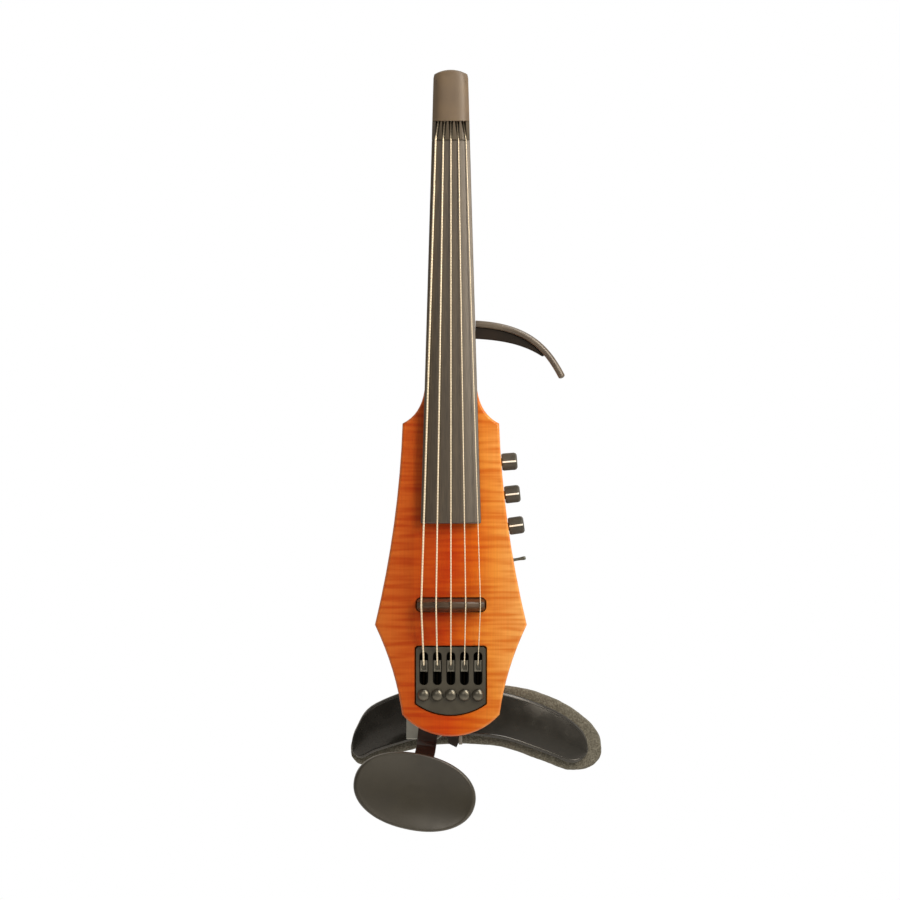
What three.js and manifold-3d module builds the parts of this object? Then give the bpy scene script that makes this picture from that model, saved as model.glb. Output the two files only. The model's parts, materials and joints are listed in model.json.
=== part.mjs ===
// A five-string, fretless, headless solid-body electric violin with its shoulder rest and chin rest.
// Millimetres. x is to the right, y to the back, z up the neck. Heights are counted from the lower
// end of the body, and depths from its flat back; the whole is then moved so that the origin is the
// point on the flat back where a stand or a display bracket holds it.
import * as THREE from 'three';
import { mergeVertices } from 'three/addons/utils/BufferGeometryUtils.js';
import { LoftGeometry } from 'three/addons/geometries/LoftGeometry.js';
import Module from 'manifold-3d';

// --- Driving dimensions -------------------------------------------------------------------------

// Strings.
const stringCount = 5;
const stringLength = 330;
const stringRadii = [0.65, 0.55, 0.45, 0.38, 0.3];
const nutSpacing = 5.4;
const bridgeSpacing = 10.5;
const tailSpacing = 9.6;
const stringRiseAtBridge = 16;
const stringRiseAtNut = 9;
const crownRadius = 50;

// Body.
const bodyThickness = 32;
const bodyEdge = 1.8;
const tailCornerHalf = 34.6;
const tailCornerHeight = 15.5;
const hipHalf = 53.9;
const hipHeight = 79.2;
const shoulderHalf = 34.3;
const shoulderHeight = 222;
const neckRootHeight = 246;
const lowerSideHollow = 5.5;
const upperSideHollow = 7.3;
const sideWall = 6;
const mountHeight = 190;

// Neck, fingerboard and head.
const boardEndAboveBridge = 58;
const boardEndHalf = 21.4;
const nutEdge = 2.7;
const boardThickness = 8;
const actionAtEnd = 4.2;
const actionAtNut = 1.1;
const neckDepth = 11;
const neckRootDepth = 17.5;
const heelHalf = 11;
const heelDepth = 16;
const heelWall = 3.5;
const heelSlopeStart = 217;
const heelSlopeRise = 13;
const nutLength = 13;
const headLength = 36;
const headTopHalf = 12.2;
const headBulge = 2.6;
const headSpacing = 4.4;
const capWall = 1.6;

// Bridge.
const bridgeHeight = 93;
const bridgeEnd = 3;
const bridgeUpper = 5;
const bridgeLower = 4.2;
const bridgeRidge = 3;
const bridgeSink = 8;
const pickupThickness = 1.6;

// Tail plate and tuning machine.
const plateMargin = 1.5;
const plateTop = 63.5;
const plateCorner = 23.5;
const plateBottom = 15.4;
const plateThickness = 4;
const plateProud = 1;
const plateGap = 1;
const slotWidth = 6.4;
const slotBottom = 36.4;
const slotTop = 60.1;
const machineDepth = 12.2;
const carriagePlay = 0.5;
const carriageLength = 8;
const carriageHeight = 50;
const carriageBackWall = 1.3;
const screwRadius = 1.5;
const tunerHeight = 29.5;
const tunerRadius = 4;
const tunerDome = 3.4;
const bevelReach = 3.3;
const bevelEdge = 0.3;

// Controls.
const controlHeights = { volume: 194.5, treble: 171.2, bass: 148.8 };
const controlRadius = 6.2;
const controlLength = 11;
const shaftRadius = 2.9;
const bushRadius = 3.9;
const potRadius = 7;
const potLength = 8;
const controlDepth = 17;
const switchHeight = 125;
const switchLever = 9;
const leverRadius = 1.4;
const bayWall = 2;
const bayLow = 108;
const bayHigh = 206;
const bayFloor = 1;
const coverThickness = 2;
const coverLip = 3;
const coverEnd = 8;
const coverScrewRadius = 1.2;

// Battery, board and jack.
const batteryWidth = 26.5;
const batteryLength = 48.5;
const batteryThickness = 17.5;
const coverWeb = 2.9;
const nestRoom = 1;
const doorLip = 2.5;
const jackHeight = 88;
const jackDepth = 13;
const jackRadius = 6;
const jackSocketRadius = 3.3;
const jackLength = 34;
const jackFace = -1.6;
const wireRadius = 2;
const boardLength = 44;
const boardHeight = 17;

// Side arm.
const armHeight = 288.5;
const armReach = 62.5;
const armDrop = 38.2;
const armThickness = 4.8;
const armRootWidth = 13;
const armDepth = 13;
const ribLength = 42.5;
const ribTipWidth = 1.8;
const ribTaper = 1.8;

// Shoulder rest.
const restSetback = 19;
const restSweep = 17;
const shellThickness = 5;
const padThickness = 12;
const hubHeight = 5;
const hubDepth = 11;
const hubWidth = 15;
const hubCentre = 1.8;
const clipThickness = 2.3;
const plateEnds = [-31.8, 13];
const plateEdges = [-3.6, 15];
const restPlateThickness = 1.6;
const seatRadius = 8;

// Chin rest.
const strapWidth = 14;
const strapThickness = 2.8;
const strapSlot = 24;
const clampHeight = 24;
const clampRadius = 7;
const clampShank = 2;
const chinLong = 43.9;
const chinShort = 27.3;
const chinTilt = 12;
const chinThickness = 8;
const chinDish = 3.2;
const chinCentre = { x: -25.7, z: -39.3 };
const chinSetback = 24;
const bossRadius = 6.7;

// Clearances.
const gap = 0.3;
const runningGap = 0.25;

// --- Helpers ------------------------------------------------------------------------------------

const wasm = await Module();
wasm.setup();
const X = new THREE.Vector3(1, 0, 0);
const Y = new THREE.Vector3(0, 1, 0);
const Z = new THREE.Vector3(0, 0, 1);
const degrees = Math.PI / 180;
const stringIndex = [...Array(stringCount).keys()];
const middle = (stringCount - 1) / 2;

// The faces of a closed geometry as a solid that can be cut and joined.
function solidOf(geometry) {
  const bare = geometry.index ? geometry.toNonIndexed() : geometry.clone();
  bare.deleteAttribute('normal');
  bare.deleteAttribute('uv');
  const merged = mergeVertices(bare, 1e-3);
  return new wasm.Manifold(new wasm.Mesh({
    numProp: 3,
    vertProperties: new Float32Array(merged.attributes.position.array),
    triVerts: new Uint32Array(merged.index.array),
  }));
}

// A solid's faces as a geometry that a mesh can show.
function geometryOf(solid) {
  const { vertProperties, triVerts } = solid.getMesh();
  const geometry = new THREE.BufferGeometry();
  geometry.setAttribute('position', new THREE.BufferAttribute(vertProperties, 3));
  geometry.setIndex(new THREE.BufferAttribute(triVerts, 1));
  geometry.computeVertexNormals();
  return geometry;
}

const cut = (geometry, tools) =>
  geometryOf(tools.reduce((left, tool) => left.subtract(solidOf(tool)), solidOf(geometry)));

const join = (geometry, others) =>
  geometryOf(others.reduce((whole, other) => whole.add(solidOf(other)), solidOf(geometry)));

function block(x0, x1, y0, y1, z0, z1) {
  const box = new THREE.BoxGeometry(x1 - x0, y1 - y0, z1 - z0);
  return box.translate((x0 + x1) / 2, (y0 + y1) / 2, (z0 + z1) / 2);
}

// A shape drawn in x and z, as a slab from one depth to another, with a bevelled edge if asked.
function slab(shape, back, front, segments = 6, edge = 0) {
  const geometry = new THREE.ExtrudeGeometry(shape, {
    depth: back - front - 2 * edge,
    curveSegments: segments,
    bevelEnabled: edge > 0,
    bevelThickness: edge,
    bevelSize: edge,
    bevelOffset: -edge,
    bevelSegments: 2,
  });
  return geometry.rotateX(Math.PI / 2).translate(0, back - edge, 0);
}

// A profile of [radius, distance] pairs turned about an axis through the point given.
function turned(profile, axis, at, sides = 16) {
  const points = profile.map(([radius, along]) => new THREE.Vector2(radius, along));
  const lathe = new THREE.LatheGeometry(points, sides);
  lathe.applyQuaternion(new THREE.Quaternion().setFromUnitVectors(Y, axis));
  return lathe.translate(at.x, at.y, at.z);
}

// A plain round bar between two distances along an axis.
const bar = (radius, from, to, axis, at, sides = 16) =>
  turned([[0, from], [radius, from], [radius, to], [0, to]], axis, at, sides);

// A closed skin through rings of points, each turned to run counterclockwise seen from the last.
function skin(rings) {
  const middleOf = (ring) => ring.reduce((sum, point) => sum.add(point), new THREE.Vector3())
    .divideScalar(ring.length);
  const onward = middleOf(rings[1]).sub(middleOf(rings[0]));
  const normal = new THREE.Vector3();
  rings[0].forEach((point, i) => {
    const next = rings[0][(i + 1) % rings[0].length];
    normal.add(new THREE.Vector3().crossVectors(point, next));
  });
  const forward = normal.dot(onward) > 0;
  const turned = forward ? rings : rings.map((ring) => [...ring].reverse());
  return new LoftGeometry(turned, { capStart: true, capEnd: true });
}

// A band between an upper and a lower edge drawn in x and z, with softened corners. The depth of
// its front face follows x.
function band(upper, lower, frontAt, thickness, steps, soft) {
  const rings = [];
  for (let i = 0; i <= steps; i++) {
    const top = upper.getPoint(i / steps);
    const low = lower.getPoint(i / steps);
    const across = new THREE.Vector2().subVectors(low, top);
    const width = across.length();
    const edge = Math.min(soft, width / 3);
    const corners = [[edge, 0], [0, soft], [0, thickness - soft], [edge, thickness]];
    const ring = [];
    for (const [inset, depth] of corners) ring.push([inset / width, depth]);
    for (const [inset, depth] of corners.reverse()) ring.push([1 - inset / width, depth]);
    rings.push(ring.map(([share, depth]) => {
      const spot = top.clone().addScaledVector(across, share);
      return new THREE.Vector3(spot.x, frontAt(spot.x) + depth, spot.y);
    }));
  }
  return skin(rings);
}

function rounded(x0, x1, z0, z1, radius) {
  const shape = new THREE.Shape();
  shape.moveTo(x0 + radius, z0);
  shape.lineTo(x1 - radius, z0);
  shape.absarc(x1 - radius, z0 + radius, radius, -Math.PI / 2, 0, false);
  shape.lineTo(x1, z1 - radius);
  shape.absarc(x1 - radius, z1 - radius, radius, 0, Math.PI / 2, false);
  shape.lineTo(x0 + radius, z1);
  shape.absarc(x0 + radius, z1 - radius, radius, Math.PI / 2, Math.PI, false);
  shape.lineTo(x0, z0 + radius);
  shape.absarc(x0 + radius, z0 + radius, radius, Math.PI, 1.5 * Math.PI, false);
  return shape;
}

const violin = new THREE.Group();
violin.position.z = -mountHeight;

const finishes = {
  maple: { color: 0xcf6a1c, roughness: 0.3, metalness: 0 },
  ebony: { color: 0x4b443a, roughness: 0.5, metalness: 0 },
  black: { color: 0x3a372f, roughness: 0.45, metalness: 0 },
  gloss: { color: 0x1c1b19, roughness: 0.15, metalness: 0 },
  steel: { color: 0xb9b5ab, roughness: 0.3, metalness: 1 },
  brass: { color: 0xb08d4a, roughness: 0.35, metalness: 1 },
  foam: { color: 0x55534c, roughness: 0.95, metalness: 0 },
  board: { color: 0x1d5a37, roughness: 0.5, metalness: 0 },
};

function add(name, geometry, finish, place) {
  const mesh = new THREE.Mesh(geometry, new THREE.MeshStandardMaterial(finishes[finish]));
  mesh.name = name;
  if (place) mesh.applyMatrix4(place);
  violin.add(mesh);
}

// --- Where the strings run ----------------------------------------------------------------------

const boardNutHalf = middle * nutSpacing + nutEdge;
const bridgeHalf = middle * bridgeSpacing + bridgeEnd;
const plateHalf = middle * tailSpacing + tunerRadius + plateMargin;
const carriageWidth = slotWidth - 2 * carriagePlay;
const frontFace = -bodyThickness;
const nutHeight = bridgeHeight + stringLength;
const boardEnd = bridgeHeight + boardEndAboveBridge;
const crownDrop = (x) => crownRadius - Math.sqrt(crownRadius ** 2 - x ** 2);
const mix = THREE.MathUtils.lerp;

// The middle string's depth at a height between the bridge and the nut.
const stringDepth = (height) => mix(frontFace - stringRiseAtBridge, frontFace - stringRiseAtNut,
  (height - bridgeHeight) / stringLength);

const boardShare = (height) => (height - boardEnd) / (nutHeight - boardEnd);
const boardHalf = (height) => mix(boardEndHalf, boardNutHalf, boardShare(height));
const boardCrown = (height) =>
  stringDepth(height) + mix(actionAtEnd, actionAtNut, boardShare(height));
const boardBack = (height) => boardCrown(height) + boardThickness;

// --- Body ---------------------------------------------------------------------------------------

const tailRadius = (tailCornerHalf ** 2 + tailCornerHeight ** 2) / (2 * tailCornerHeight);
const tailAngle = Math.asin(tailCornerHalf / tailRadius);
const neckRootHalf = boardHalf(neckRootHeight);
const lowerSide = new THREE.QuadraticBezierCurve(
  new THREE.Vector2(tailCornerHalf, tailCornerHeight),
  new THREE.Vector2((tailCornerHalf + hipHalf) / 2 - lowerSideHollow, (tailCornerHeight + hipHeight) / 2),
  new THREE.Vector2(hipHalf, hipHeight),
);
const upperSide = new THREE.QuadraticBezierCurve(
  new THREE.Vector2(hipHalf, hipHeight),
  new THREE.Vector2((hipHalf + shoulderHalf) / 2 - upperSideHollow, (hipHeight + shoulderHeight) / 2),
  new THREE.Vector2(shoulderHalf, shoulderHeight),
);
const cove = new THREE.QuadraticBezierCurve(
  new THREE.Vector2(shoulderHalf, shoulderHeight),
  new THREE.Vector2(neckRootHalf + 2.4, shoulderHeight + 6.4),
  new THREE.Vector2(neckRootHalf, neckRootHeight),
);
const mirrored = (curve) => new THREE.QuadraticBezierCurve(
  ...[curve.v2, curve.v1, curve.v0].map((point) => new THREE.Vector2(-point.x, point.y)),
);

// Half the body's width, and how far its side leans, at a height above the hip.
function sideAt(height) {
  const rise = (share) => upperSide.getPoint(share).y;
  let low = 0;
  let high = 1;
  while (high - low > 1e-5) {
    const half = (low + high) / 2;
    if (rise(half) < height) low = half;
    else high = half;
  }
  const tangent = upperSide.getTangent(low);
  return { half: upperSide.getPoint(low).x, lean: Math.atan2(-tangent.x, tangent.y) };
}

const bodyShape = new THREE.Shape();
bodyShape.moveTo(-tailCornerHalf, tailCornerHeight);
bodyShape.absarc(0, tailRadius, tailRadius, -Math.PI / 2 - tailAngle, -Math.PI / 2 + tailAngle, false);
bodyShape.curves.push(lowerSide, upperSide, cove);
bodyShape.curves.push(new THREE.LineCurve(cove.v2, mirrored(cove).v0));
bodyShape.curves.push(mirrored(cove), mirrored(upperSide), mirrored(lowerSide));

// The tail plate's outline, and the recess and the machine under it, grown or shrunk from it.
function plateShape(grow) {
  const half = plateHalf + grow;
  const low = plateBottom - grow;
  const corner = plateCorner - grow / 2;
  const radius = (half ** 2 + (corner - low) ** 2) / (2 * (corner - low));
  const angle = Math.asin(half / radius);
  const shape = new THREE.Shape();
  shape.moveTo(-half, corner);
  shape.absarc(0, low + radius, radius, -Math.PI / 2 - angle, -Math.PI / 2 + angle, false);
  shape.lineTo(half, plateTop + grow - 1.5);
  shape.lineTo(half - 1.5, plateTop + grow);
  shape.lineTo(-half + 1.5, plateTop + grow);
  shape.lineTo(-half, plateTop + grow - 1.5);
  return shape;
}
const plateBack = frontFace - plateProud + plateThickness;
const machineBack = plateBack + gap + machineDepth;

const bayInner = heelHalf + bayWall;
const bayDepth = controlDepth + potRadius + bayFloor;
// The bay for the controls follows the body's side, a wall's thickness inside it.
function bayShape(grow, extra) {
  const shape = new THREE.Shape();
  const low = bayLow - extra;
  const high = bayHigh + extra;
  shape.moveTo(bayInner - grow, low);
  for (let i = 0; i <= 6; i++) {
    const height = mix(low, high, i / 6);
    shape.lineTo(sideAt(height).half - sideWall + grow, height);
  }
  shape.lineTo(bayInner - grow, high);
  return shape;
}
const coverBack = -gap / 2;
const coverFront = coverBack - coverThickness;
const ledge = coverFront - gap;
const coverScrews = [bayLow - coverEnd / 2, bayHigh + coverEnd / 2];
const coverScrewX = (height) => (bayInner + sideAt(height).half - sideWall) / 2;

// The battery lies beside the bay, under its own door.
const nestHalf = batteryWidth / 2 + nestRoom;
const batteryMid = bayInner - coverLip - doorLip - coverWeb - 2 * gap - nestHalf;
const nestLow = bayLow;
const nestHigh = nestLow + batteryLength + 4 * nestRoom;
const nestFront = ledge - batteryThickness - nestRoom;
const doorPivot = { y: (coverBack + coverFront) / 2, z: nestLow - doorLip - coverThickness / 2 };
const doorShape = (grow) => rounded(batteryMid - nestHalf - doorLip - grow,
  batteryMid + nestHalf + doorLip + grow, doorPivot.z, nestHigh + doorLip + grow, 1);

// Where the neck's heel sits, cut in from the front.
const heelBottom = nestHigh + heelWall;
const heelBack = frontFace + heelDepth;

// The frame of a control, let into the right side: x points straight out of the leaning side.
function controlFrame(height) {
  const { half, lean } = sideAt(height);
  return new THREE.Matrix4().makeTranslation(half, -controlDepth, height)
    .multiply(new THREE.Matrix4().makeRotationY(-lean));
}

// The jack's frame, let level into the left side: x points out of the body.
const jackPlace = new THREE.Matrix4().makeTranslation(-sideAt(jackHeight).half, -jackDepth, jackHeight)
  .multiply(new THREE.Matrix4().makeRotationZ(Math.PI));
const jackEnd = new THREE.Vector3(-jackLength + 4, 0, 0).applyMatrix4(jackPlace);
const origin = new THREE.Vector3();
const clampX = -14.5;

function makeBody() {
  const tools = [
    slab(plateShape(plateGap), machineBack + gap, frontFace - 1),
    slab(bayShape(0, 0), 1, -bayDepth),
    slab(bayShape(coverLip + gap, coverEnd + gap), 1, ledge),
    slab(rounded(batteryMid - nestHalf, batteryMid + nestHalf, nestLow, nestHigh, 2), 1, nestFront, 3),
    slab(doorShape(gap), 1, ledge, 3),
    block(batteryMid - nestHalf - doorLip - gap, batteryMid + nestHalf + doorLip + gap,
      ledge, 1, doorPivot.z - coverThickness / 2 - 2 * gap, doorPivot.z + 1),
    block(-heelHalf - gap, heelHalf + gap, frontFace - 1, heelBack + gap,
      heelBottom - gap, neckRootHeight + 1),
    slab(rounded(-bridgeHalf - 1.2, bridgeHalf + 1.2, bridgeHeight - bridgeLower - 0.8,
      bridgeHeight + bridgeUpper + 0.8, 4), bridgeFoot + pickupThickness + gap, frontFace - 1, 3),
    bar(jackRadius + gap, -jackLength - 1, 8, X, origin).applyMatrix4(jackPlace),
    bar(wireRadius, 0, nestLow + 4 - jackEnd.z, Z, jackEnd, 8),
    bar(wireRadius, batteryMid + nestHalf - 2, bayInner + 2, X,
      new THREE.Vector3(0, -jackDepth, nestLow + 20), 8),
    bar(clampShank + gap, -12, 1, Y, new THREE.Vector3(clampX, 0, clampHeight)),
  ];
  for (const height of Object.values(controlHeights)) {
    const bush = bar(bushRadius + gap, -sideWall - 4, 2, X, origin);
    tools.push(bush.applyMatrix4(controlFrame(height)));
  }
  tools.push(bar(leverRadius + 1.6, -sideWall - 4, 2, X, origin).applyMatrix4(controlFrame(switchHeight)));
  const slope = [[1, heelSlopeStart], [1, neckRootHeight + 2], [-heelSlopeRise - 1, neckRootHeight + 2]];
  tools.push(skin([-hipHalf, hipHalf].map((x) => slope.map(([y, z]) => new THREE.Vector3(x, y, z)))));
  for (const height of coverScrews) {
    const at = new THREE.Vector3(coverScrewX(height), 0, height);
    tools.push(bar(coverScrewRadius + gap, -12, 1, Y, at, 10));
  }
  return cut(slab(bodyShape, 0, frontFace, 8, bodyEdge), tools);
}

const bridgeFoot = frontFace + bridgeSink;
add('body', makeBody(), 'maple');

// --- Neck and fingerboard -----------------------------------------------------------------------

const headHigh = nutHeight + gap + nutLength + gap + headLength;
const headHalf = (height) => mix(boardNutHalf, headTopHalf, (height - nutHeight) / (headHigh - nutHeight));
const neckHalf = (height) => (height > nutHeight ? headHalf(height) : boardHalf(height)) - 0.3;

// A D-shaped section: flat to the front, round to the back, and lower at its sides by a drop.
function neckSection(height, half, depth, drop) {
  const front = (height > nutHeight ? boardBack(nutHeight) : boardBack(height)) + gap;
  const ring = [];
  for (let i = 0; i <= 10; i++) {
    const angle = Math.PI * i / 10;
    const across = Math.sign(Math.cos(angle)) * Math.abs(Math.cos(angle)) ** 0.75;
    const back = front + 1.6 + (depth - 1.6) * Math.sin(angle) ** 0.8;
    ring.push(new THREE.Vector3(half * across, back, height - drop * across ** 2));
  }
  ring.push(new THREE.Vector3(-half, front, height - drop));
  ring.push(new THREE.Vector3(half, front, height - drop));
  return ring;
}

function makeNeck() {
  const low = boardEnd + 12;
  const heights = [neckRootHeight + gap, neckRootHeight + 14, mix(neckRootHeight, nutHeight, 0.5), nutHeight,
    headHigh - 6, headHigh - 1.5, headHigh];
  const depths = [neckRootDepth, neckDepth + 2, neckDepth, neckDepth - 0.5, neckDepth - 0.5, neckDepth - 1.5,
    neckDepth - 4];
  const drops = [0, 0, 0, 0, 0.8, 2.4, 3];
  const shaft = skin(heights.map((height, i) => neckSection(height,
    neckHalf(height) - (i > 4 ? (i - 4) * 0.8 : 0), depths[i], drops[i])));
  const spine = skin([low, neckRootHeight + 2].map((height) => [
    [-heelHalf - 4, boardBack(height) + gap], [heelHalf + 4, boardBack(height) + gap],
    [heelHalf + 4, frontFace - gap], [-heelHalf - 4, frontFace - gap],
  ].map(([x, y]) => new THREE.Vector3(x, y, height))));
  const heel = block(-heelHalf, heelHalf, frontFace - 1, heelBack, heelBottom, neckRootHeight + 1);
  return join(shaft, [spine, heel]);
}
add('neck', makeNeck(), 'maple');

function boardSection(height, inset) {
  const half = boardHalf(height) - inset;
  const ring = [new THREE.Vector3(-half, boardBack(height), height)];
  for (let i = 0; i <= 10; i++) {
    const x = mix(-half, half, i / 10);
    ring.push(new THREE.Vector3(x, boardCrown(height) + crownDrop(x) + inset, height));
  }
  ring.push(new THREE.Vector3(half, boardBack(height), height));
  return ring;
}
const boardRings = [[boardEnd, 0.8], [boardEnd + 0.8, 0], [nutHeight - gap, 0]];
add('fingerboard', skin(boardRings.map(([height, inset]) => boardSection(height, inset))), 'ebony');

// --- Nut, head cap and string anchor ------------------------------------------------------------

// A string's route: up from its carriage, over the bridge and the nut, and down into the head.
const headX = (i) => (i - middle) * headSpacing;
const nutX = (i) => (i - middle) * nutSpacing;
const bridgeX = (i) => (i - middle) * bridgeSpacing;
const tailX = (i) => (i - middle) * tailSpacing;
const nutDepthOf = (i) => stringDepth(nutHeight) + crownDrop(nutX(i));
const bridgeDepthOf = (i) => stringDepth(bridgeHeight) + crownDrop(bridgeX(i));
const nutTop = nutHeight + nutLength;
const headSink = 4;
const capLow = nutTop + gap;
const anchorLow = capLow + 6;
const anchorThickness = 2.2;
const ballRadius = 1.5;
const headShare = (height) => THREE.MathUtils.clamp((height - nutHeight) / (headHigh - nutHeight), 0, 1);
const headFront = (height, x) => boardCrown(nutHeight) - 1.7 + crownDrop(x)
  - headBulge * Math.sin(Math.PI * headShare(height)) ** 0.7;

function headSection(height, inset, drop) {
  const half = headHalf(height) - inset;
  const back = boardBack(nutHeight);
  const ring = [new THREE.Vector3(-half, back, height - drop)];
  for (let i = 0; i <= 10; i++) {
    const x = mix(-half, half, i / 10);
    const round = 2.6 * Math.abs(x / half) ** 6;
    const lower = drop * (x / half) ** 2;
    ring.push(new THREE.Vector3(x, headFront(height, x) + round + inset * 1.4, height - lower));
  }
  ring.push(new THREE.Vector3(half, back, height - drop));
  return ring;
}

function makeNut() {
  const blank = skin([nutHeight, nutTop].map((height) => headSection(height, 0, 0)));
  const slots = stringIndex.map((i) => {
    const wedge = (height, centre, half, floor) => [
      [-half, frontFace - 30], [-half, floor], [half, floor], [half, frontFace - 30],
    ].map(([x, y]) => new THREE.Vector3(centre + x, y, height));
    const floor = nutDepthOf(i) + stringRadii[i] + gap;
    return skin([wedge(nutHeight - 1, nutX(i), stringRadii[i] + 0.35, floor - 0.2),
      wedge(nutTop + 1, headX(i), 1.75, floor + headSink + 1.2)]);
  });
  return cut(blank, slots);
}
add('nut_block', makeNut(), 'black');

function makeHeadCap() {
  const blank = skin([[capLow, 0, 0], [mix(capLow, headHigh, 0.5), 0, 0], [headHigh - 5, 0, 1],
    [headHigh - 1, 0.5, 2.2], [headHigh, 1.6, 2.4]].map((ring) => headSection(...ring)));
  const hollow = block(-headTopHalf + capWall, headTopHalf - capWall, boardCrown(nutHeight) - 1,
    boardBack(nutHeight) + 1, capLow + 1.6, headHigh - 8);
  const holes = stringIndex.map((i) => bar(1.7, capLow - 1, capLow + 3, Z,
    new THREE.Vector3(headX(i), nutDepthOf(i) + headSink, 0), 10));
  return cut(blank, [hollow, ...holes]);
}
add('head_cap', makeHeadCap(), 'black');

const anchorBack = boardBack(nutHeight) - gap;
add('string_anchor', cut(
  block(-headTopHalf + capWall + gap, headTopHalf - capWall - gap,
    boardCrown(nutHeight) - 1 + gap, anchorBack, anchorLow, anchorLow + anchorThickness),
  stringIndex.map((i) => bar(stringRadii[i] + gap, anchorLow - 1, anchorLow + anchorThickness + 1,
    Z, new THREE.Vector3(headX(i), nutDepthOf(i) + headSink, 0), 8)),
), 'brass');

// --- Strings ------------------------------------------------------------------------------------

const stringEndHeight = carriageHeight + 0.6;
const stringEndDepth = frontFace + 0.8;

function makeString(i) {
  const radius = stringRadii[i];
  const headDepth = nutDepthOf(i) + headSink;
  const ballLow = anchorLow + anchorThickness + gap;
  const route = [
    [tailX(i), stringEndDepth, stringEndHeight, radius],
    [bridgeX(i), bridgeDepthOf(i), bridgeHeight, radius],
    [nutX(i), nutDepthOf(i), nutHeight, radius],
    [headX(i), headDepth, nutTop, radius],
    [headX(i), headDepth, ballLow, radius],
    [headX(i), headDepth, ballLow + 0.8, ballRadius],
    [headX(i), headDepth, ballLow + 2.6, ballRadius],
    [headX(i), headDepth, ballLow + 3.4, radius],
  ];
  return skin(route.map(([x, y, z, size]) => {
    const ring = [];
    for (let side = 0; side < 6; side++) {
      const angle = side * Math.PI / 3;
      ring.push(new THREE.Vector3(x + size * Math.cos(angle), y + size * Math.sin(angle), z));
    }
    return ring;
  }));
}
for (const i of stringIndex) add(`string_${i + 1}`, makeString(i), 'steel');

// --- Bridge -------------------------------------------------------------------------------------

function makeBridge() {
  const rings = [];
  for (let i = 0; i <= 12; i++) {
    const x = mix(-bridgeHalf, bridgeHalf, i / 12);
    const top = stringDepth(bridgeHeight) + crownDrop(x) + stringRadii[0] + gap;
    const bow = bridgeLower * (1 - 0.25 * (x / bridgeHalf) ** 2);
    const end = i === 0 || i === 12 ? 1.2 : 0;
    rings.push([
      [bridgeFoot, bridgeUpper - end], [bridgeFoot, -bow + end], [frontFace, -bow + end],
      [top + end, -0.6], [top + end, bridgeRidge - 0.6 - end], [frontFace, bridgeUpper - end],
    ].map(([y, z]) => new THREE.Vector3(x, y, bridgeHeight + z)));
  }
  return skin(rings);
}
add('bridge', makeBridge(), 'ebony');
add('bridge_pickup', block(-bridgeHalf + 2, bridgeHalf - 2, bridgeFoot + gap, bridgeFoot + pickupThickness,
  bridgeHeight - 1.5, bridgeHeight + 2.5), 'brass');

// --- Tail plate and tuning machine --------------------------------------------------------------

const screwDepth = plateBack + gap + 4.9;
const gearLow = tunerHeight - bevelReach - 1;
const gearHigh = tunerHeight + bevelReach + 0.6;
const machineHigh = plateTop - 1.5;
const bevelGear = [
  [0, 1.6], [1.35, 1.6], [bevelReach - runningGap, bevelReach],
  [bevelReach - runningGap, bevelReach + bevelEdge],
];

function makeTailPlate() {
  const slots = stringIndex.map((i) => slab(rounded(tailX(i) - slotWidth / 2, tailX(i) + slotWidth / 2,
    slotBottom, slotTop, slotWidth / 2 - 0.05), plateBack + 1, frontFace - plateProud - 1, 4));
  const holes = stringIndex.map((i) => bar(screwRadius + gap, -plateThickness - 1, plateThickness, Y,
    new THREE.Vector3(tailX(i), plateBack, tunerHeight), 12));
  return cut(slab(plateShape(0), plateBack, frontFace - plateProud, 8), [...slots, ...holes]);
}
add('tail_plate', makeTailPlate(), 'black');

function makeTunerBase() {
  const front = plateBack + gap;
  const tools = [];
  for (const i of stringIndex) {
    const x = tailX(i);
    tools.push(block(x - carriageWidth / 2 - gap, x + carriageWidth / 2 + gap, front - 1,
      machineBack - 1.6, slotBottom, slotTop));
    tools.push(block(x - bevelReach - 0.5, x + bevelReach + 0.5, front - 1, screwDepth + bevelReach + 0.6,
      gearLow, gearHigh));
    tools.push(bar(screwRadius + runningGap, gearHigh - 1, machineHigh + 1, Z,
      new THREE.Vector3(x, screwDepth, 0)));
  }
  const blank = slab(plateShape(-1), machineBack, front, 6);
  const trim = block(-plateHalf - 2, plateHalf + 2, front - 2, machineBack + 2, machineHigh, plateTop + 4);
  return cut(blank, [trim, ...tools]);
}
add('tuner_base', makeTunerBase(), 'black');

for (const i of stringIndex) {
  const x = tailX(i);
  const front = frontFace - plateProud + 0.8;
  const lower = carriageHeight - carriageLength / 2;
  const upper = carriageHeight + carriageLength / 2;
  const floor = stringEndDepth + stringRadii[i] + 0.4;
  add(`carriage_${i + 1}`, cut(
    block(x - carriageWidth / 2, x + carriageWidth / 2, front, screwDepth + screwRadius + carriageBackWall,
      lower, upper),
    [
      block(x - 1.7, x + 1.7, front - 1, front + 4, lower + 1.2, lower + 4.8),
      block(x - 1.1, x + 1.1, front - 1, floor, lower + 3, upper + 1),
      bar(screwRadius + runningGap, lower - 1, upper + 1, Z,
        new THREE.Vector3(x, screwDepth, 0)),
    ],
  ), 'steel');
  add(`lead_screw_${i + 1}`, turned([
    ...bevelGear,
    [screwRadius, bevelReach + bevelEdge],
    [screwRadius, machineHigh - tunerHeight],
    [0, machineHigh - tunerHeight],
  ], Z, new THREE.Vector3(x, screwDepth, tunerHeight)), 'brass');
  const neck = screwDepth - (frontFace - plateProud) + gap;
  add(`tuning_knob_${i + 1}`, turned([
    ...bevelGear,
    [screwRadius, bevelReach + bevelEdge],
    [screwRadius, neck], [tunerRadius, neck], [tunerRadius, neck + 1],
    [tunerRadius * 0.9, neck + tunerDome * 0.6], [tunerRadius * 0.55, neck + tunerDome * 0.9],
    [0, neck + tunerDome],
  ], Y.clone().negate(), new THREE.Vector3(x, screwDepth, tunerHeight)), 'black');
}

// --- Controls, board, battery and jack ----------------------------------------------------------

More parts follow.
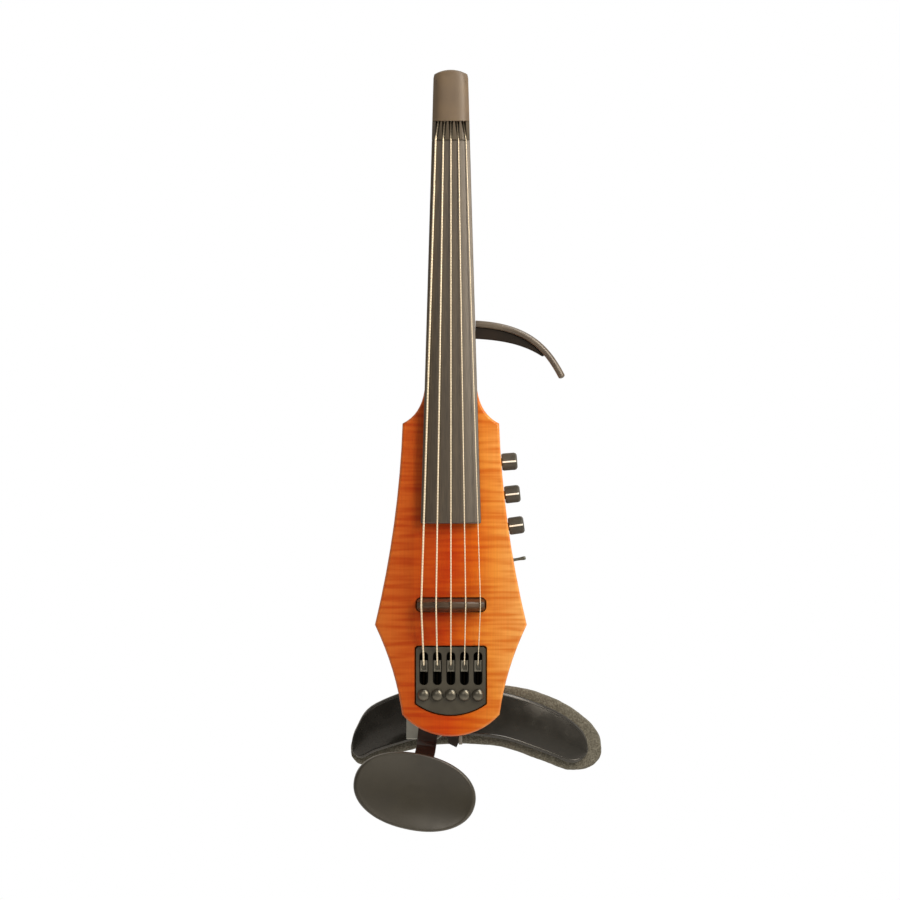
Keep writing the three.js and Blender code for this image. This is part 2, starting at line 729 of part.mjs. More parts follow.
for (const [name, height] of Object.entries(controlHeights)) {
  const place = controlFrame(height);
  const knobStart = 0.4;
  add(`${name}_knob`, turned([
    [0, -sideWall - 3], [shaftRadius, -sideWall - 3], [shaftRadius, knobStart],
    [controlRadius - 1, knobStart], [controlRadius, knobStart + 1],
    [controlRadius, knobStart + controlLength - 1.6], [controlRadius - 1.4, knobStart + controlLength],
    [0, knobStart + controlLength],
  ], X, origin), 'black', place);
  add(`${name}_pot`, cut(turned([
    [0, -sideWall - gap - potLength], [potRadius, -sideWall - gap - potLength], [potRadius, -sideWall - gap],
    [bushRadius, -sideWall - gap], [bushRadius, 0], [0, 0],
  ], X, origin), [bar(shaftRadius + runningGap, -sideWall - 4, 1, X, origin)]), 'steel', place);
}

const switchPlace = controlFrame(switchHeight);
add('mode_switch_lever', turned([
  [0, -1.4], [leverRadius, -1], [leverRadius * 0.75, 2.5], [leverRadius * 0.8, switchLever - 2.4],
  [leverRadius, switchLever - 1.2], [leverRadius * 0.6, switchLever], [0, switchLever],
], X, origin, 12), 'steel', switchPlace);
add('mode_switch_body', join(
  block(-sideWall - gap - 8, -sideWall - gap, -3.4, 3.4, -6, 6),
  [bar(leverRadius + 1.2, -sideWall - 2, -2, X, origin, 12)],
), 'steel', switchPlace);

add('preamp_board', block(bayInner + 1.2, bayInner + 2.8, -bayDepth + 3, -bayDepth + 3 + boardHeight,
  nestLow + 4, nestLow + 4 + boardLength), 'board');

add('output_jack', cut(bar(jackRadius, -jackLength, jackFace, X, origin),
  [bar(jackSocketRadius, -jackLength + 2, 1, X, origin)]), 'steel', jackPlace);

const batteryLow = nestLow + 2 * nestRoom;
const batteryBack = ledge - nestRoom / 2;
add('battery', slab(rounded(batteryMid - batteryWidth / 2, batteryMid + batteryWidth / 2, batteryLow,
  batteryLow + batteryLength, 3), batteryBack, batteryBack - batteryThickness, 3), 'black');

function makeDoor() {
  const half = nestHalf + doorLip;
  const leaf = slab(rounded(batteryMid - half, batteryMid + half, doorPivot.z, nestHigh + doorLip, 0.8),
    coverBack, coverFront, 3);
  const pivot = new THREE.Vector3(batteryMid, doorPivot.y, doorPivot.z);
  const knuckle = bar(coverThickness / 2, -half, half, X, pivot, 12);
  return join(leaf, [knuckle]);
}
add('battery_door', makeDoor(), 'black');

add('control_cover', cut(slab(bayShape(coverLip, coverEnd), coverBack, coverFront),
  coverScrews.map((height) => bar(coverScrewRadius + 1.4 + gap, -coverThickness - 1, 1, Y,
    new THREE.Vector3(coverScrewX(height), coverBack, height), 12))), 'black');
coverScrews.forEach((height, i) => add(`cover_screw_${i + 1}`, turned([
  [0, -10], [coverScrewRadius, -10], [coverScrewRadius, -2], [coverScrewRadius + 1.3, -1.2],
  [coverScrewRadius + 1.3, 0], [0, 0],
], Y, new THREE.Vector3(coverScrewX(height), coverBack - 0.2, height), 12), 'steel'));

// --- Side arm -----------------------------------------------------------------------------------

const armRoot = { x: boardHalf(armHeight - armRootWidth) + gap, z: armHeight + armRootWidth / 2 };
const armUpper = new THREE.CubicBezierCurve(
  new THREE.Vector2(armRoot.x, armRoot.z),
  new THREE.Vector2(armRoot.x + armReach * 0.607, armRoot.z - armDrop * 0.053),
  new THREE.Vector2(armRoot.x + armReach * 0.832, armRoot.z - armDrop * 0.475),
  new THREE.Vector2(armRoot.x + armReach, armRoot.z - armDrop),
);
// A curve set inwards from another by a distance that follows how far along it is, and kept
// clear of the board.
function inset(curve, distanceAt, stop = 1) {
  const points = [];
  for (let i = 0; i <= 10; i++) {
    const share = stop * i / 10;
    const tangent = curve.getTangent(share);
    const shift = new THREE.Vector2(tangent.y, -tangent.x).multiplyScalar(distanceAt(share));
    const point = curve.getPoint(share).add(shift);
    point.x = Math.max(point.x, armRoot.x);
    points.push(point);
  }
  return new THREE.SplineCurve(points);
}
const armDepthAt = boardBack(armHeight) - armDepth / 2 + 2;
const armLower = inset(armUpper, () => armThickness);
add('side_arm', band(inset(armUpper, () => 0), armLower, () => armDepthAt, armDepth, 16, 1.2), 'black');
const ribStop = ribLength / armReach;
const ribTop = armThickness + gap;
const ribUpper = inset(armUpper, () => ribTop, ribStop);
const ribWidth = (share) => mix(armRootWidth - ribTop, ribTipWidth, (share / ribStop) ** ribTaper);
const ribLower = inset(armUpper, (share) => ribTop + ribWidth(share), ribStop);
add('arm_rib', band(ribUpper, ribLower, () => armDepthAt + 3, armDepth - 6, 10, 0.8), 'black');

// --- Shoulder rest ------------------------------------------------------------------------------

const outline = (points) => new THREE.SplineCurve(points.map(([x, z]) => new THREE.Vector2(x, z)));
const restMiddle = 12;
const restHalf = 90;
const restFront = (x) => restSetback + restSweep * ((x - restMiddle) / restHalf) ** 2;
const shellUpper = outline([
  [-71.8, -10], [-68, 4], [-54, 21.7], [-10, 35.5], [39, 29.4], [74, 17], [93, 3.5], [99, -9.5],
]);
const shellLower = outline([
  [-69, -16], [-63, -17.5], [-50, -11.6], [-10, -1.2], [34, -3.2], [68, -14.2], [86, -21], [96.6, -17.5],
]);
const padUpper = outline([
  [-72.3, -13], [-68.5, 1], [-54, 20.5], [-10, 34.5], [39.7, 34.5], [74.4, 25], [100, 7.7], [110, -9.5],
]);
const padLower = outline([
  [-70, -19.5], [-62.3, -22.6], [-50, -17.8], [-10, -7.9], [33, -8.9], [63, -18.6], [84, -26.2], [104, -24.6],
]);
const padFront = (x) => restFront(x) + shellThickness + gap;
add('rest_shell', band(shellUpper, shellLower, restFront, shellThickness, 20, 1.4), 'gloss');
add('rest_pad', band(padUpper, padLower, padFront, padThickness, 20, 3), 'foam');

const hubAxis = { y: hubDepth, z: hubHeight };
const seatCentre = new THREE.Vector3(hubCentre, 0, hubAxis.z - 1);
const hubLeft = hubCentre - hubWidth / 2;
const hubRight = hubCentre + hubWidth / 2;
const earWidth = 3.5;
function makeBracket() {
  const plate = block(hubLeft, hubRight, gap, 4, hubAxis.z - 1, hubAxis.z + 24);
  const pieces = [];
  for (const [from, to] of [[hubLeft, hubLeft + earWidth], [hubRight - earWidth, hubRight]]) {
    pieces.push(block(from, to, 2, hubAxis.y, hubAxis.z - 3, hubAxis.z + 6));
    pieces.push(bar(3.6, from, to, X, new THREE.Vector3(0, hubAxis.y, hubAxis.z)));
  }
  const bore = bar(1.6, hubLeft - 1, hubRight + 1, X, new THREE.Vector3(0, hubAxis.y, hubAxis.z));
  return cut(join(plate, pieces), [bore]);
}
add('rest_bracket', makeBracket(), 'black');

function makeHub() {
  const left = hubLeft + earWidth + gap;
  const right = hubRight - earWidth - gap;
  const at = new THREE.Vector3(0, hubAxis.y, hubAxis.z);
  const tongue = bar(3.6, left, right, X, at);
  const pin = bar(1.35, hubLeft - 0.8, hubRight + 0.8, X, at);
  const tailShape = new THREE.Shape();
  tailShape.moveTo(left, hubAxis.z);
  tailShape.lineTo(left, hubAxis.z - 11.3);
  tailShape.lineTo(right - 1.5, hubAxis.z - 14.2);
  tailShape.lineTo(right, hubAxis.z - 11);
  tailShape.lineTo(right, hubAxis.z);
  const tail = slab(tailShape, restSetback - 2.2, hubAxis.y - 3.6);
  const seat = bar(seatRadius, restSetback - 4.4, restSetback - gap, Y, seatCentre, 20);
  return join(tongue, [pin, tail, seat]);
}
add('rest_hub', makeHub(), 'black');

// A sheet-metal plate on the shell's front, with a round hole that turns on the hub's seat.
const restPlateFront = (x) => restFront(x) - gap - restPlateThickness;
add('rest_plate', cut(
  band(...plateEdges.toReversed().map((z) => outline(plateEnds.map((x) => [x, z]))), restPlateFront,
    restPlateThickness, 10, 0.3),
  [bar(seatRadius + gap, 0, 2 * restSetback, Y, seatCentre, 20)],
), 'steel');
const clipLeft = hubRight - earWidth;
add('rest_clip', block(clipLeft, clipLeft + clipThickness, hubAxis.y - 2.6, hubAxis.y + 3,
  hubAxis.z - 12.2, hubAxis.z - 6), 'steel');

// --- Chin rest ----------------------------------------------------------------------------------

const strapPath = new THREE.CatmullRomCurve3([
  [clampX + 1.4, 0, clampHeight + strapSlot / 2 + 7], [clampX, 0, clampHeight], [clampX - 2.2, 0, -1],
  [clampX - 3.4, -2.4, -10.5], [clampX - 5.6, -9, -19], [clampX - 8.4, -14.6, -28],
  [clampX - 10.8, -15.5, -38], [clampX - 12.6, -15.5, -46],
].map(([x, y, z]) => new THREE.Vector3(x, y + gap + strapThickness / 2, z)));

function makeStrap() {
  const rings = [];
  const steps = 18;
  for (let i = 0; i <= steps; i++) {
    const along = strapPath.getTangent(i / steps);
    const out = new THREE.Vector3().crossVectors(X, along).normalize();
    const side = new THREE.Vector3().crossVectors(along, out).normalize();
    const end = i === 0 || i === steps ? 0.7 : 1;
    const corners = [[-1, -1], [1, -1], [1, 1], [-1, 1]];
    rings.push(corners.map(([a, b]) => strapPath.getPoint(i / steps)
      .addScaledVector(side, a * end * strapWidth / 2).addScaledVector(out, b * strapThickness / 2)));
  }
  const slot = slab(rounded(clampX - clampShank - 0.5, clampX + clampShank + 0.5,
    clampHeight - strapSlot / 2, clampHeight + strapSlot / 2, clampShank + 0.45), 8, -4, 4);
  return cut(skin(rings), [slot]);
}
add('chin_strap', makeStrap(), 'black');

const clampSeat = strapThickness + 2 * gap;
add('chin_clamp_screw', turned([
  [0, -9], [clampShank, -9], [clampShank, clampSeat], [clampRadius, clampSeat], [clampRadius, clampSeat + 5],
  [clampRadius - 1, clampSeat + 6], [0, clampSeat + 6],
], Y, new THREE.Vector3(clampX, 0, clampHeight), 20), 'black');

// The rest's oval plate faces the front: a round dish with a soft rim, drawn out into an oval.
const chinPlate = turned([
  [0, chinDish], [0.4, chinDish * 0.9], [0.75, chinDish * 0.45], [0.92, 0.4], [0.97, 0], [1, 0.9],
  [1, 2.4], [0.93, 4.6], [0.6, chinThickness - 1], [0.25, chinThickness], [0, chinThickness],
], Y, origin, 36).scale(chinLong, 1, chinShort);
const chinPlace = new THREE.Matrix4()
  .makeTranslation(chinCentre.x, -chinSetback - chinThickness, chinCentre.z)
  .multiply(new THREE.Matrix4().makeRotationY(chinTilt * degrees));
add('chin_plate', chinPlate, 'black', chinPlace);
const bossFront = -chinSetback + gap;
const bossBack = strapPath.getPoint(1).y - strapThickness / 2 - 2 * gap;
add('chin_pivot', bar(bossRadius, bossFront, bossBack, Y,
  new THREE.Vector3(chinCentre.x, 0, chinCentre.z), 20), 'black');

export default violin;
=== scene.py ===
import json
import math
import bmesh
import bpy
from mathutils import Matrix, Vector


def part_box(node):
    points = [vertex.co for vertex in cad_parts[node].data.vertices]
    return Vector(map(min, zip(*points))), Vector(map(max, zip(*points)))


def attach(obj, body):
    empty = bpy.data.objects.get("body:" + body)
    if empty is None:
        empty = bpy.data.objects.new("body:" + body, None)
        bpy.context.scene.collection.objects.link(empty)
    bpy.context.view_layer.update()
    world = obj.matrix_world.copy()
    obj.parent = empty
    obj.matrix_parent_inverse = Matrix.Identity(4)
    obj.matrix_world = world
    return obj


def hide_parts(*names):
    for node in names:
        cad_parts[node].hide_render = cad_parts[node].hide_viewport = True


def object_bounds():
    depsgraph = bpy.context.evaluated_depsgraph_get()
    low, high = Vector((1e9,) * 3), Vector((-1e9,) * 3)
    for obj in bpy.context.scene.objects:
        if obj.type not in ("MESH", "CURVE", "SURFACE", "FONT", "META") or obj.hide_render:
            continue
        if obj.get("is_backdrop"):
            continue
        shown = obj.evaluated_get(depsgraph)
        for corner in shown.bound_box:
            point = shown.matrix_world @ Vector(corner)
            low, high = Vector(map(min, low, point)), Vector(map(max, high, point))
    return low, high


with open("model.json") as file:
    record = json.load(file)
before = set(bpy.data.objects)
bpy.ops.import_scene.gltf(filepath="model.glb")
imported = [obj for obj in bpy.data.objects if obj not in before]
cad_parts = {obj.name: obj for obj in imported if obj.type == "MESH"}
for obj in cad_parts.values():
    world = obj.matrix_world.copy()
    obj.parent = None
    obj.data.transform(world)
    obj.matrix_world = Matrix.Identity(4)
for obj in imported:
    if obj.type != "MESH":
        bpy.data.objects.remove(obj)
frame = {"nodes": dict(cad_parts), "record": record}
cad_low, cad_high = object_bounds()
scene = bpy.context.scene

# --- Studio -------------------------------------------------------------------------------------
# The violin hangs upright against white, well above a pale floor, and is seen straight from the
# front through a long lens. A tall soft light stands close by on the right, above the rests, and
# the left is dim.

camera_distance = 6.00
view_height = 0.637
view_centre = Vector((-0.0006, -0.045, 0.0132))
sensor = 0.036
mm = 0.001


def linear(hex_colour):
    """An sRGB hex colour as the linear colour that a socket takes."""
    parts = [int(hex_colour[i:i + 2], 16) / 255 for i in (0, 2, 4)]
    return (*[p / 12.92 if p <= 0.04045 else ((p + 0.055) / 1.055) ** 2.4 for p in parts], 1)


def fill(tree, node, inputs):
    """Sets a node's inputs, or links them to a socket or to another node's first output."""
    for socket, value in inputs.items():
        if isinstance(value, bpy.types.Node):
            value = value.outputs[0]
        if isinstance(value, bpy.types.NodeSocket):
            tree.links.new(value, node.inputs[socket])
        else:
            node.inputs[socket].default_value = value


def add_node(tree, kind, inputs=None, **settings):
    """Adds a node with its settings and its inputs."""
    made = tree.nodes.new(kind)
    for setting, value in settings.items():
        setattr(made, setting, value)
    fill(tree, made, inputs or {})
    return made


camera_data = bpy.data.cameras.new("camera")
camera_data.sensor_width = sensor * 1000
camera_data.lens = sensor * 1000 * camera_distance / view_height
camera = bpy.data.objects.new("camera", camera_data)
camera.location = view_centre - Vector((0, camera_distance, 0))
camera.rotation_euler = (math.pi / 2, 0, 0)
scene.collection.objects.link(camera)
scene.camera = camera
scene.view_settings.view_transform = "Standard"

# The room is bright behind the violin and on the right, and dim on the left of the camera.
room_dim = 0.13
room_right = 0.50
room_bright = 1.0
world = bpy.data.worlds.new("studio")
world.use_nodes = True
room = world.node_tree
direction = add_node(room, "ShaderNodeTexCoord")
facing = add_node(room, "ShaderNodeSeparateXYZ", {0: direction.outputs["Generated"]})
glow = add_node(room, "ShaderNodeMapRange", {
    "Value": facing.outputs["Y"], "From Min": -0.35, "From Max": 0.45,
    "To Min": room_dim, "To Max": room_bright}, interpolation_type="SMOOTHSTEP")
seen = add_node(room, "ShaderNodeLightPath")
side_glow = add_node(room, "ShaderNodeMapRange", {
    "Value": facing.outputs["X"], "From Min": -0.2, "From Max": 0.95,
    "To Min": room_dim, "To Max": room_right}, interpolation_type="SMOOTHSTEP")
brighter = add_node(room, "ShaderNodeMath", {
    0: glow, 1: side_glow}, operation="MAXIMUM")
strength = add_node(room, "ShaderNodeMath", {
    0: brighter, 1: seen.outputs["Is Camera Ray"]}, operation="MAXIMUM")
tint = add_node(room, "ShaderNodeMix", {
    0: seen.outputs["Is Camera Ray"], 6: linear("fff6ea"), 7: linear("ffffff")}, data_type="RGBA")
fill(room, room.nodes["Background"], {"Color": tint.outputs[2], "Strength": strength})
scene.world = world


def soft_light(name, place, width, height, power, warmth):
    """A soft box that points at the middle of the violin."""
    lamp = bpy.data.lights.new(name, "AREA")
    lamp.shape = "RECTANGLE"
    lamp.size = width
    lamp.size_y = height
    lamp.energy = power
    lamp.color = linear(warmth)[:3]
    box = bpy.data.objects.new(name, lamp)
    box.location = place
    box.rotation_euler = (view_centre - box.location).to_track_quat("-Z", "Y").to_euler()
    scene.collection.objects.link(box)


soft_light("key_light", Vector((0.42, -0.50, 0.34)), 0.30, 0.62, 5.1, "fff1de")
soft_light("fill_light", Vector((-0.3, -1.8, 0.65)), 0.7, 0.5, 4.0, "fff6ea")
soft_light("top_light", Vector((0.45, -0.25, 1.0)), 0.4, 0.4, 3.5, "ffffff")


def new_surface(name):
    """A new material, its tree, its shader, and the place on the object that patterns read."""
    material = bpy.data.materials.new(name)
    material.use_nodes = True
    tree = material.node_tree
    place = add_node(tree, "ShaderNodeTexCoord").outputs["Object"]
    return material, tree, tree.nodes["Principled BSDF"], place


def made_object(name, mesh):
    piece = bpy.data.objects.new(name, mesh)
    scene.collection.objects.link(piece)
    return piece


floor_size = 4.0
floor_drop = 0.29
floor_height = cad_low[2] - floor_drop
floor_mesh = bpy.data.meshes.new("floor")
floor_mesh.from_pydata(
    [(x * floor_size, y * floor_size, floor_height) for x, y in ((-1, -1), (1, -1), (1, 1), (-1, 1))],
    [], [(0, 1, 2, 3)])
floor = made_object("floor", floor_mesh)
paper, tree, shader, place = new_surface("pale_paper")
paper_fibre = add_node(tree, "ShaderNodeTexNoise", {"Vector": place, "Scale": 400.0})
paper_tone = add_node(tree, "ShaderNodeMix", {
    0: paper_fibre, 6: linear("f2f1ef"), 7: linear("f8f8f7")}, data_type="RGBA")
fill(tree, shader, {"Base Color": paper_tone.outputs[2], "Roughness": 0.9})
floor_mesh.materials.append(paper)
floor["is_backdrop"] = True

# --- Body ---------------------------------------------------------------------------------------
# The solid body is sawn and carved from flamed maple, stained amber and lacquered to a gloss. Its
# edges are rounded over, and their colour is mixed towards a pale tan. All its recesses are cut from it.

merge_distance = 0.002 * mm
flat_angle = math.radians(0.6)
smooth_angle = math.radians(38)


def set_stops(node, *stops):
    """Gives a ramp's node its stops, each a position and a colour, from low to high."""
    made = node.color_ramp.elements
    while len(made) < len(stops):
        made.new(1.0)
    for stop, (position, tone) in zip(made, stops):
        stop.position = position
        stop.color = tone


def per(size):
    """The texture scale, in metres, that gives a pattern this size in millimetres."""
    return 1 / (size * mm)


def copy_of(node, name):
    """A node's faces as a piece of its own, with doubled points and flat seams taken out."""
    mesh = frame["nodes"][node].data.copy()
    mesh.name = name
    shape = bmesh.new()
    shape.from_mesh(mesh)
    bmesh.ops.remove_doubles(shape, verts=shape.verts, dist=merge_distance)
    bmesh.ops.dissolve_limit(shape, angle_limit=flat_angle, verts=shape.verts, edges=shape.edges)
    bmesh.ops.recalc_face_normals(shape, faces=shape.faces)
    shape.to_mesh(mesh)
    shape.free()
    return made_object(name, mesh)


def finish(piece, material, body, slot, *nodes, edge=0.0, steps=2):
    """Rounds a piece's edges, gives it its surface, and puts it on its body in place of nodes."""
    mesh = piece.data
    mesh.materials.clear()
    mesh.materials.append(material)
    mesh.polygons.foreach_set("use_smooth", [True] * len(mesh.polygons))
    mesh.set_sharp_from_angle(angle=smooth_angle)
    if edge:
        bevel = piece.modifiers.new("edge", "BEVEL")
        bevel.width = edge
        bevel.segments = steps
        bevel.limit_method = "ANGLE"
        bevel.angle_limit = smooth_angle
    even = piece.modifiers.new("even", "WEIGHTED_NORMAL")
    even.keep_sharp = True
    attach(piece, body)
    if nodes:
        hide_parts(*nodes)
    return piece


def streaks(tree, place, width, height, turn=0.0, **noise):
    """Noise drawn out into streaks of a width and a height in millimetres."""
    drawn_out = add_node(tree, "ShaderNodeMapping", {
        "Vector": place, "Scale": (per(width), per(width), per(height)), "Rotation": (0, turn, 0)})
    return add_node(tree, "ShaderNodeTexNoise", {"Vector": drawn_out, "Scale": 1.0, **noise})


def dressed(node, name, *where, **edge):
    """A node's own shape with its edges rounded, finished in the node's place."""
    return finish(copy_of(node, name), *where, node, **edge)


# Flamed maple under amber lacquer. The flame runs across the grain, in stripes about 3 mm apart
# that fade in and out over some 30 mm. Across the body the colour runs from a darker red on the
# left, deepest in the middle below the board, to palest on the right. This is partly the stain and
# partly painted light and shade: painted shade on the left, a painted shadow of the board in the
# middle and painted light on the right. The lacquer gives a clear, slightly rippled shine.
flame_height = 3.0
flame_length = 34.0
flame_slant = math.radians(-1.5)
wave_height = 9.0
grain_width = 0.6
grain_length = 45.0
maple, tree, shader, place = new_surface("amber_lacquered_flamed_maple")
flame = streaks(tree, place, flame_length, flame_height, flame_slant,
                Detail=1.5, Roughness=0.4, Distortion=0.12)
wave = streaks(tree, place, flame_length, wave_height, Detail=1.0)
flame_share = add_node(tree, "ShaderNodeMix", {
    0: 0.25, 2: flame, 3: wave})
figure = add_node(tree, "ShaderNodeMapRange", {
    "Value": flame_share, "From Min": 0.37, "From Max": 0.60})
grain = streaks(tree, place, grain_width, grain_length, Detail=2.0, Roughness=0.6)
grain_tone = add_node(tree, "ShaderNodeMapRange", {
    "Value": grain, "From Min": 0.3, "From Max": 0.7, "To Min": 0.95, "To Max": 1.04})
figured = add_node(tree, "ShaderNodeMix", {
    0: figure, 6: (0.84, 0.58, 0.36, 1), 7: (1.04, 1.10, 1.15, 1)}, data_type="RGBA")
grained = add_node(tree, "ShaderNodeVectorMath", {
    0: figured.outputs[2], 1: grain_tone}, operation="MULTIPLY")
place_parts = add_node(tree, "ShaderNodeSeparateXYZ", {0: place})
drift = add_node(tree, "ShaderNodeTexNoise", {"Vector": place, "Scale": per(60), "Detail": 1.0})
across = add_node(tree, "ShaderNodeMath", {
    0: place_parts.outputs["X"], 1: per(1) * 0.01,
    2: add_node(tree, "ShaderNodeMath", {0: drift, 1: 0.3}, operation="MULTIPLY"),
}, operation="MULTIPLY_ADD")
# Painted light and shade: this ramp across the body mixes the amber stain with painted shade on the left, the
# board's painted shadow in the middle and painted light on the right.
stain_and_painted_light = add_node(tree, "ShaderNodeValToRGB", {0: add_node(tree, "ShaderNodeMath", {
    0: across, 1: 0.35}, operation="ADD")})
set_stops(stain_and_painted_light, (0.0, linear("c06222")), (0.28, linear("bc4e0e")), (0.45, linear("c44606")),
          (0.62, linear("d0640f")), (0.78, linear("de8a34")), (1.0, linear("e6a258")))
stained_grain_and_painted_light = add_node(tree, "ShaderNodeMix", {
    0: 1.0, 6: stain_and_painted_light, 7: grained}, data_type="RGBA", blend_type="MULTIPLY")
# Where the surface turns from the front to the sides, the colour is mixed towards a pale tan.
facing_parts = add_node(tree, "ShaderNodeSeparateXYZ", {
    0: add_node(tree, "ShaderNodeTexCoord").outputs["Normal"]})
turned_away = add_node(tree, "ShaderNodeMath", {0: facing_parts.outputs["Y"]}, operation="ABSOLUTE")
on_edge = add_node(tree, "ShaderNodeValToRGB", {0: turned_away})
set_stops(on_edge, (0.15, (0, 0, 0, 1)), (0.75, (0.25, 0.25, 0.25, 1)), (0.97, (0, 0, 0, 1)))
edged = add_node(tree, "ShaderNodeMix", {
    0: on_edge, 6: stained_grain_and_painted_light.outputs[2], 7: linear("e8a468")}, data_type="RGBA")
ripple = add_node(tree, "ShaderNodeTexNoise", {"Vector": place, "Scale": per(9), "Detail": 1.0})
ripple_bump = add_node(tree, "ShaderNodeBump", {
    "Strength": 0.05, "Distance": 0.05 * mm, "Height": ripple})
fill(tree, shader, {
    "Base Color": edged.outputs[2], "Coat Normal": ripple_bump, "Roughness": 0.45,
    "IOR": 1.5, "Specular IOR Level": 0.1, "Coat Weight": 0.35, "Coat Roughness": 0.10})

dressed("body", "maple_body", maple, "violin", "flamed_maple")

# --- Neck ---------------------------------------------------------------------------------------
# The neck is one piece of plain maple, its heel glued into a mortise in the body. It is rubbed
# with oil, so it is paler and duller than the body.

neck_wood, tree, shader, place = new_surface("oiled_maple")
neck_grain = streaks(tree, place, 1.2, 90, Detail=3.0)
neck_tone = add_node(tree, "ShaderNodeMix", {
    0: neck_grain, 6: linear("9a5f2c"), 7: linear("c98f52")}, data_type="RGBA")
neck_bump = add_node(tree, "ShaderNodeBump", {
    "Strength": 0.15, "Distance": 0.05 * mm, "Height": neck_grain})
fill(tree, shader, {
    "Base Color": neck_tone.outputs[2], "Normal": neck_bump, "Roughness": 0.45,
    "IOR": 1.48})

dressed("neck", "maple_neck", neck_wood, "violin", "neck_maple")

# --- Fingerboard --------------------------------------------------------------------------------
# A fretless board of ebony, planed to a crown and waxed. Ebony is nearly black-brown, with fine
# darker pores along the grain, and the wax gives it a low, wide shine.

ebony, tree, shader, place = new_surface("waxed_ebony")
pores = streaks(tree, place, 0.8, 16, Detail=4.0, Roughness=0.65)
pore_tone = add_node(tree, "ShaderNodeValToRGB", {0: pores})
set_stops(pore_tone, (0.35, linear("352c20")), (0.65, linear("4d4334")))
pore_rough = add_node(tree, "ShaderNodeMapRange", {
    "Value": pores, "From Min": 0.3, "From Max": 0.7, "To Min": 0.46, "To Max": 0.38})
pore_bump = add_node(tree, "ShaderNodeBump", {
    "Strength": 0.12, "Distance": 0.05 * mm, "Height": pores})
fill(tree, shader, {
    "Base Color": pore_tone, "Roughness": pore_rough,
    "Normal": pore_bump, "IOR": 1.52, "Specular IOR Level": 0.9})

dressed("fingerboard", "ebony_fingerboard", ebony, "violin", "ebony", edge=0.35 * mm)

# --- Nut block, head cap and string anchor ------------------------------------------------------
# The nut and the head's cap are moulded in a satin grey-brown plastic; the nut is slotted for the
# strings, which sink through it to a brass anchor bar inside the hollow cap.


def moulded(name, low_tone, high_tone, roughness, grain_size=0.5, grain_depth=0.02, shine=0.5):
    """Moulded plastic: a fine eroded grain, and broad faint clouds where hands have polished it."""
    material, tree, shader, place = new_surface(name)
    clouds = add_node(tree, "ShaderNodeTexNoise", {"Vector": place, "Scale": per(14), "Detail": 2.0})
    share = add_node(tree, "ShaderNodeMapRange", {
        "Value": clouds, "From Min": 0.35, "From Max": 0.65})
    tone = add_node(tree, "ShaderNodeMix", {
        0: share, 6: linear(low_tone), 7: linear(high_tone)}, data_type="RGBA")
    dull = add_node(tree, "ShaderNodeMapRange", {
        "Value": clouds, "From Min": 0.3, "From Max": 0.7,
        "To Min": roughness - 0.05, "To Max": roughness + 0.05})
    grain = add_node(tree, "ShaderNodeTexNoise", {
        "Vector": place, "Scale": per(grain_size), "Detail": 2.0})
    bump = add_node(tree, "ShaderNodeBump", {
        "Strength": 0.3, "Distance": grain_depth * mm, "Height": grain})
    fill(tree, shader, {
        "Base Color": tone.outputs[2], "Roughness": dull, "Normal": bump,
        "IOR": 1.5, "Specular IOR Level": shine})
    return material


head_plastic = moulded("satin_brown_grey_head_plastic", "5e5040", "685844", 0.48, shine=0.6)
nut_plastic = moulded("satin_brown_grey_nut_plastic", "463e30", "504636", 0.42, shine=0.7)
dressed("nut_block", "slotted_nut", nut_plastic, "violin", "satin_black", edge=0.15 * mm, steps=1)
dressed("head_cap", "moulded_head_cap", head_plastic, "violin", "head_cap", edge=0.3 * mm)


def cast_metal(name, tone, worn_tone, roughness, mark_size):
    """Machined or plated metal: turning marks of a given size, and tarnish in broad patches."""
    material, tree, shader, place = new_surface(name)
    marks = add_node(tree, "ShaderNodeTexNoise", {
        "Vector": place, "Scale": per(mark_size), "Detail": 3.0})
    patches = add_node(tree, "ShaderNodeTexNoise", {"Vector": place, "Scale": per(5), "Detail": 2.0})
    shade = add_node(tree, "ShaderNodeMix", {
        0: patches, 6: linear(tone), 7: linear(worn_tone)}, data_type="RGBA")
    dull = add_node(tree, "ShaderNodeMapRange", {
        "Value": marks, "To Min": roughness - 0.08, "To Max": roughness + 0.08})
    bump = add_node(tree, "ShaderNodeBump", {
        "Strength": 0.2, "Distance": 0.01 * mm, "Height": marks})
    fill(tree, shader, {
        "Base Color": shade.outputs[2], "Roughness": dull, "Normal": bump,
        "Metallic": 1.0})
    return material


def repaint(material, *nodes):
    """Gives nodes that keep their own shape their surface."""
    for node in nodes:
        for place_in_list in frame["nodes"][node].material_slots:
            place_in_list.material = material


brass = cast_metal("machined_brass", "c19a52", "a37f3c", 0.32, 0.4)
repaint(brass, "string_anchor")

# --- Strings ------------------------------------------------------------------------------------
# Five strings: a steel core wound with flat ribbon, thickest on the left. Each lies in its
# carriage, bends over the bridge and the nut, and ends in a ball behind the anchor.

string_count = 5
string_radii = [0.65 * mm, 0.55 * mm, 0.45 * mm, 0.38 * mm, 0.30 * mm]
spacing = {"tail": 9.6 * mm, "bridge": 10.5 * mm, "nut": 5.4 * mm, "head": 4.4 * mm}
body_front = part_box("body")[0][1]
body_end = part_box("body")[0][2]
bridge_height = body_end + 93 * mm
nut_height = body_end + 423 * mm
nut_top = nut_height + 13 * mm
rise_at_bridge = 16 * mm
rise_at_nut = 9 * mm
crown_radius = 50 * mm
head_sink = 4 * mm
carriage_top = body_end + 50.6 * mm
carriage_groove = body_front + 0.8 * mm
ball_radius = 1.5 * mm
ball_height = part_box("string_anchor")[1][2] + 0.3 * mm


def crown_drop(x):
    """How far the strings' common curve falls back at a distance from the middle."""
    return crown_radius - math.sqrt(crown_radius ** 2 - x ** 2)


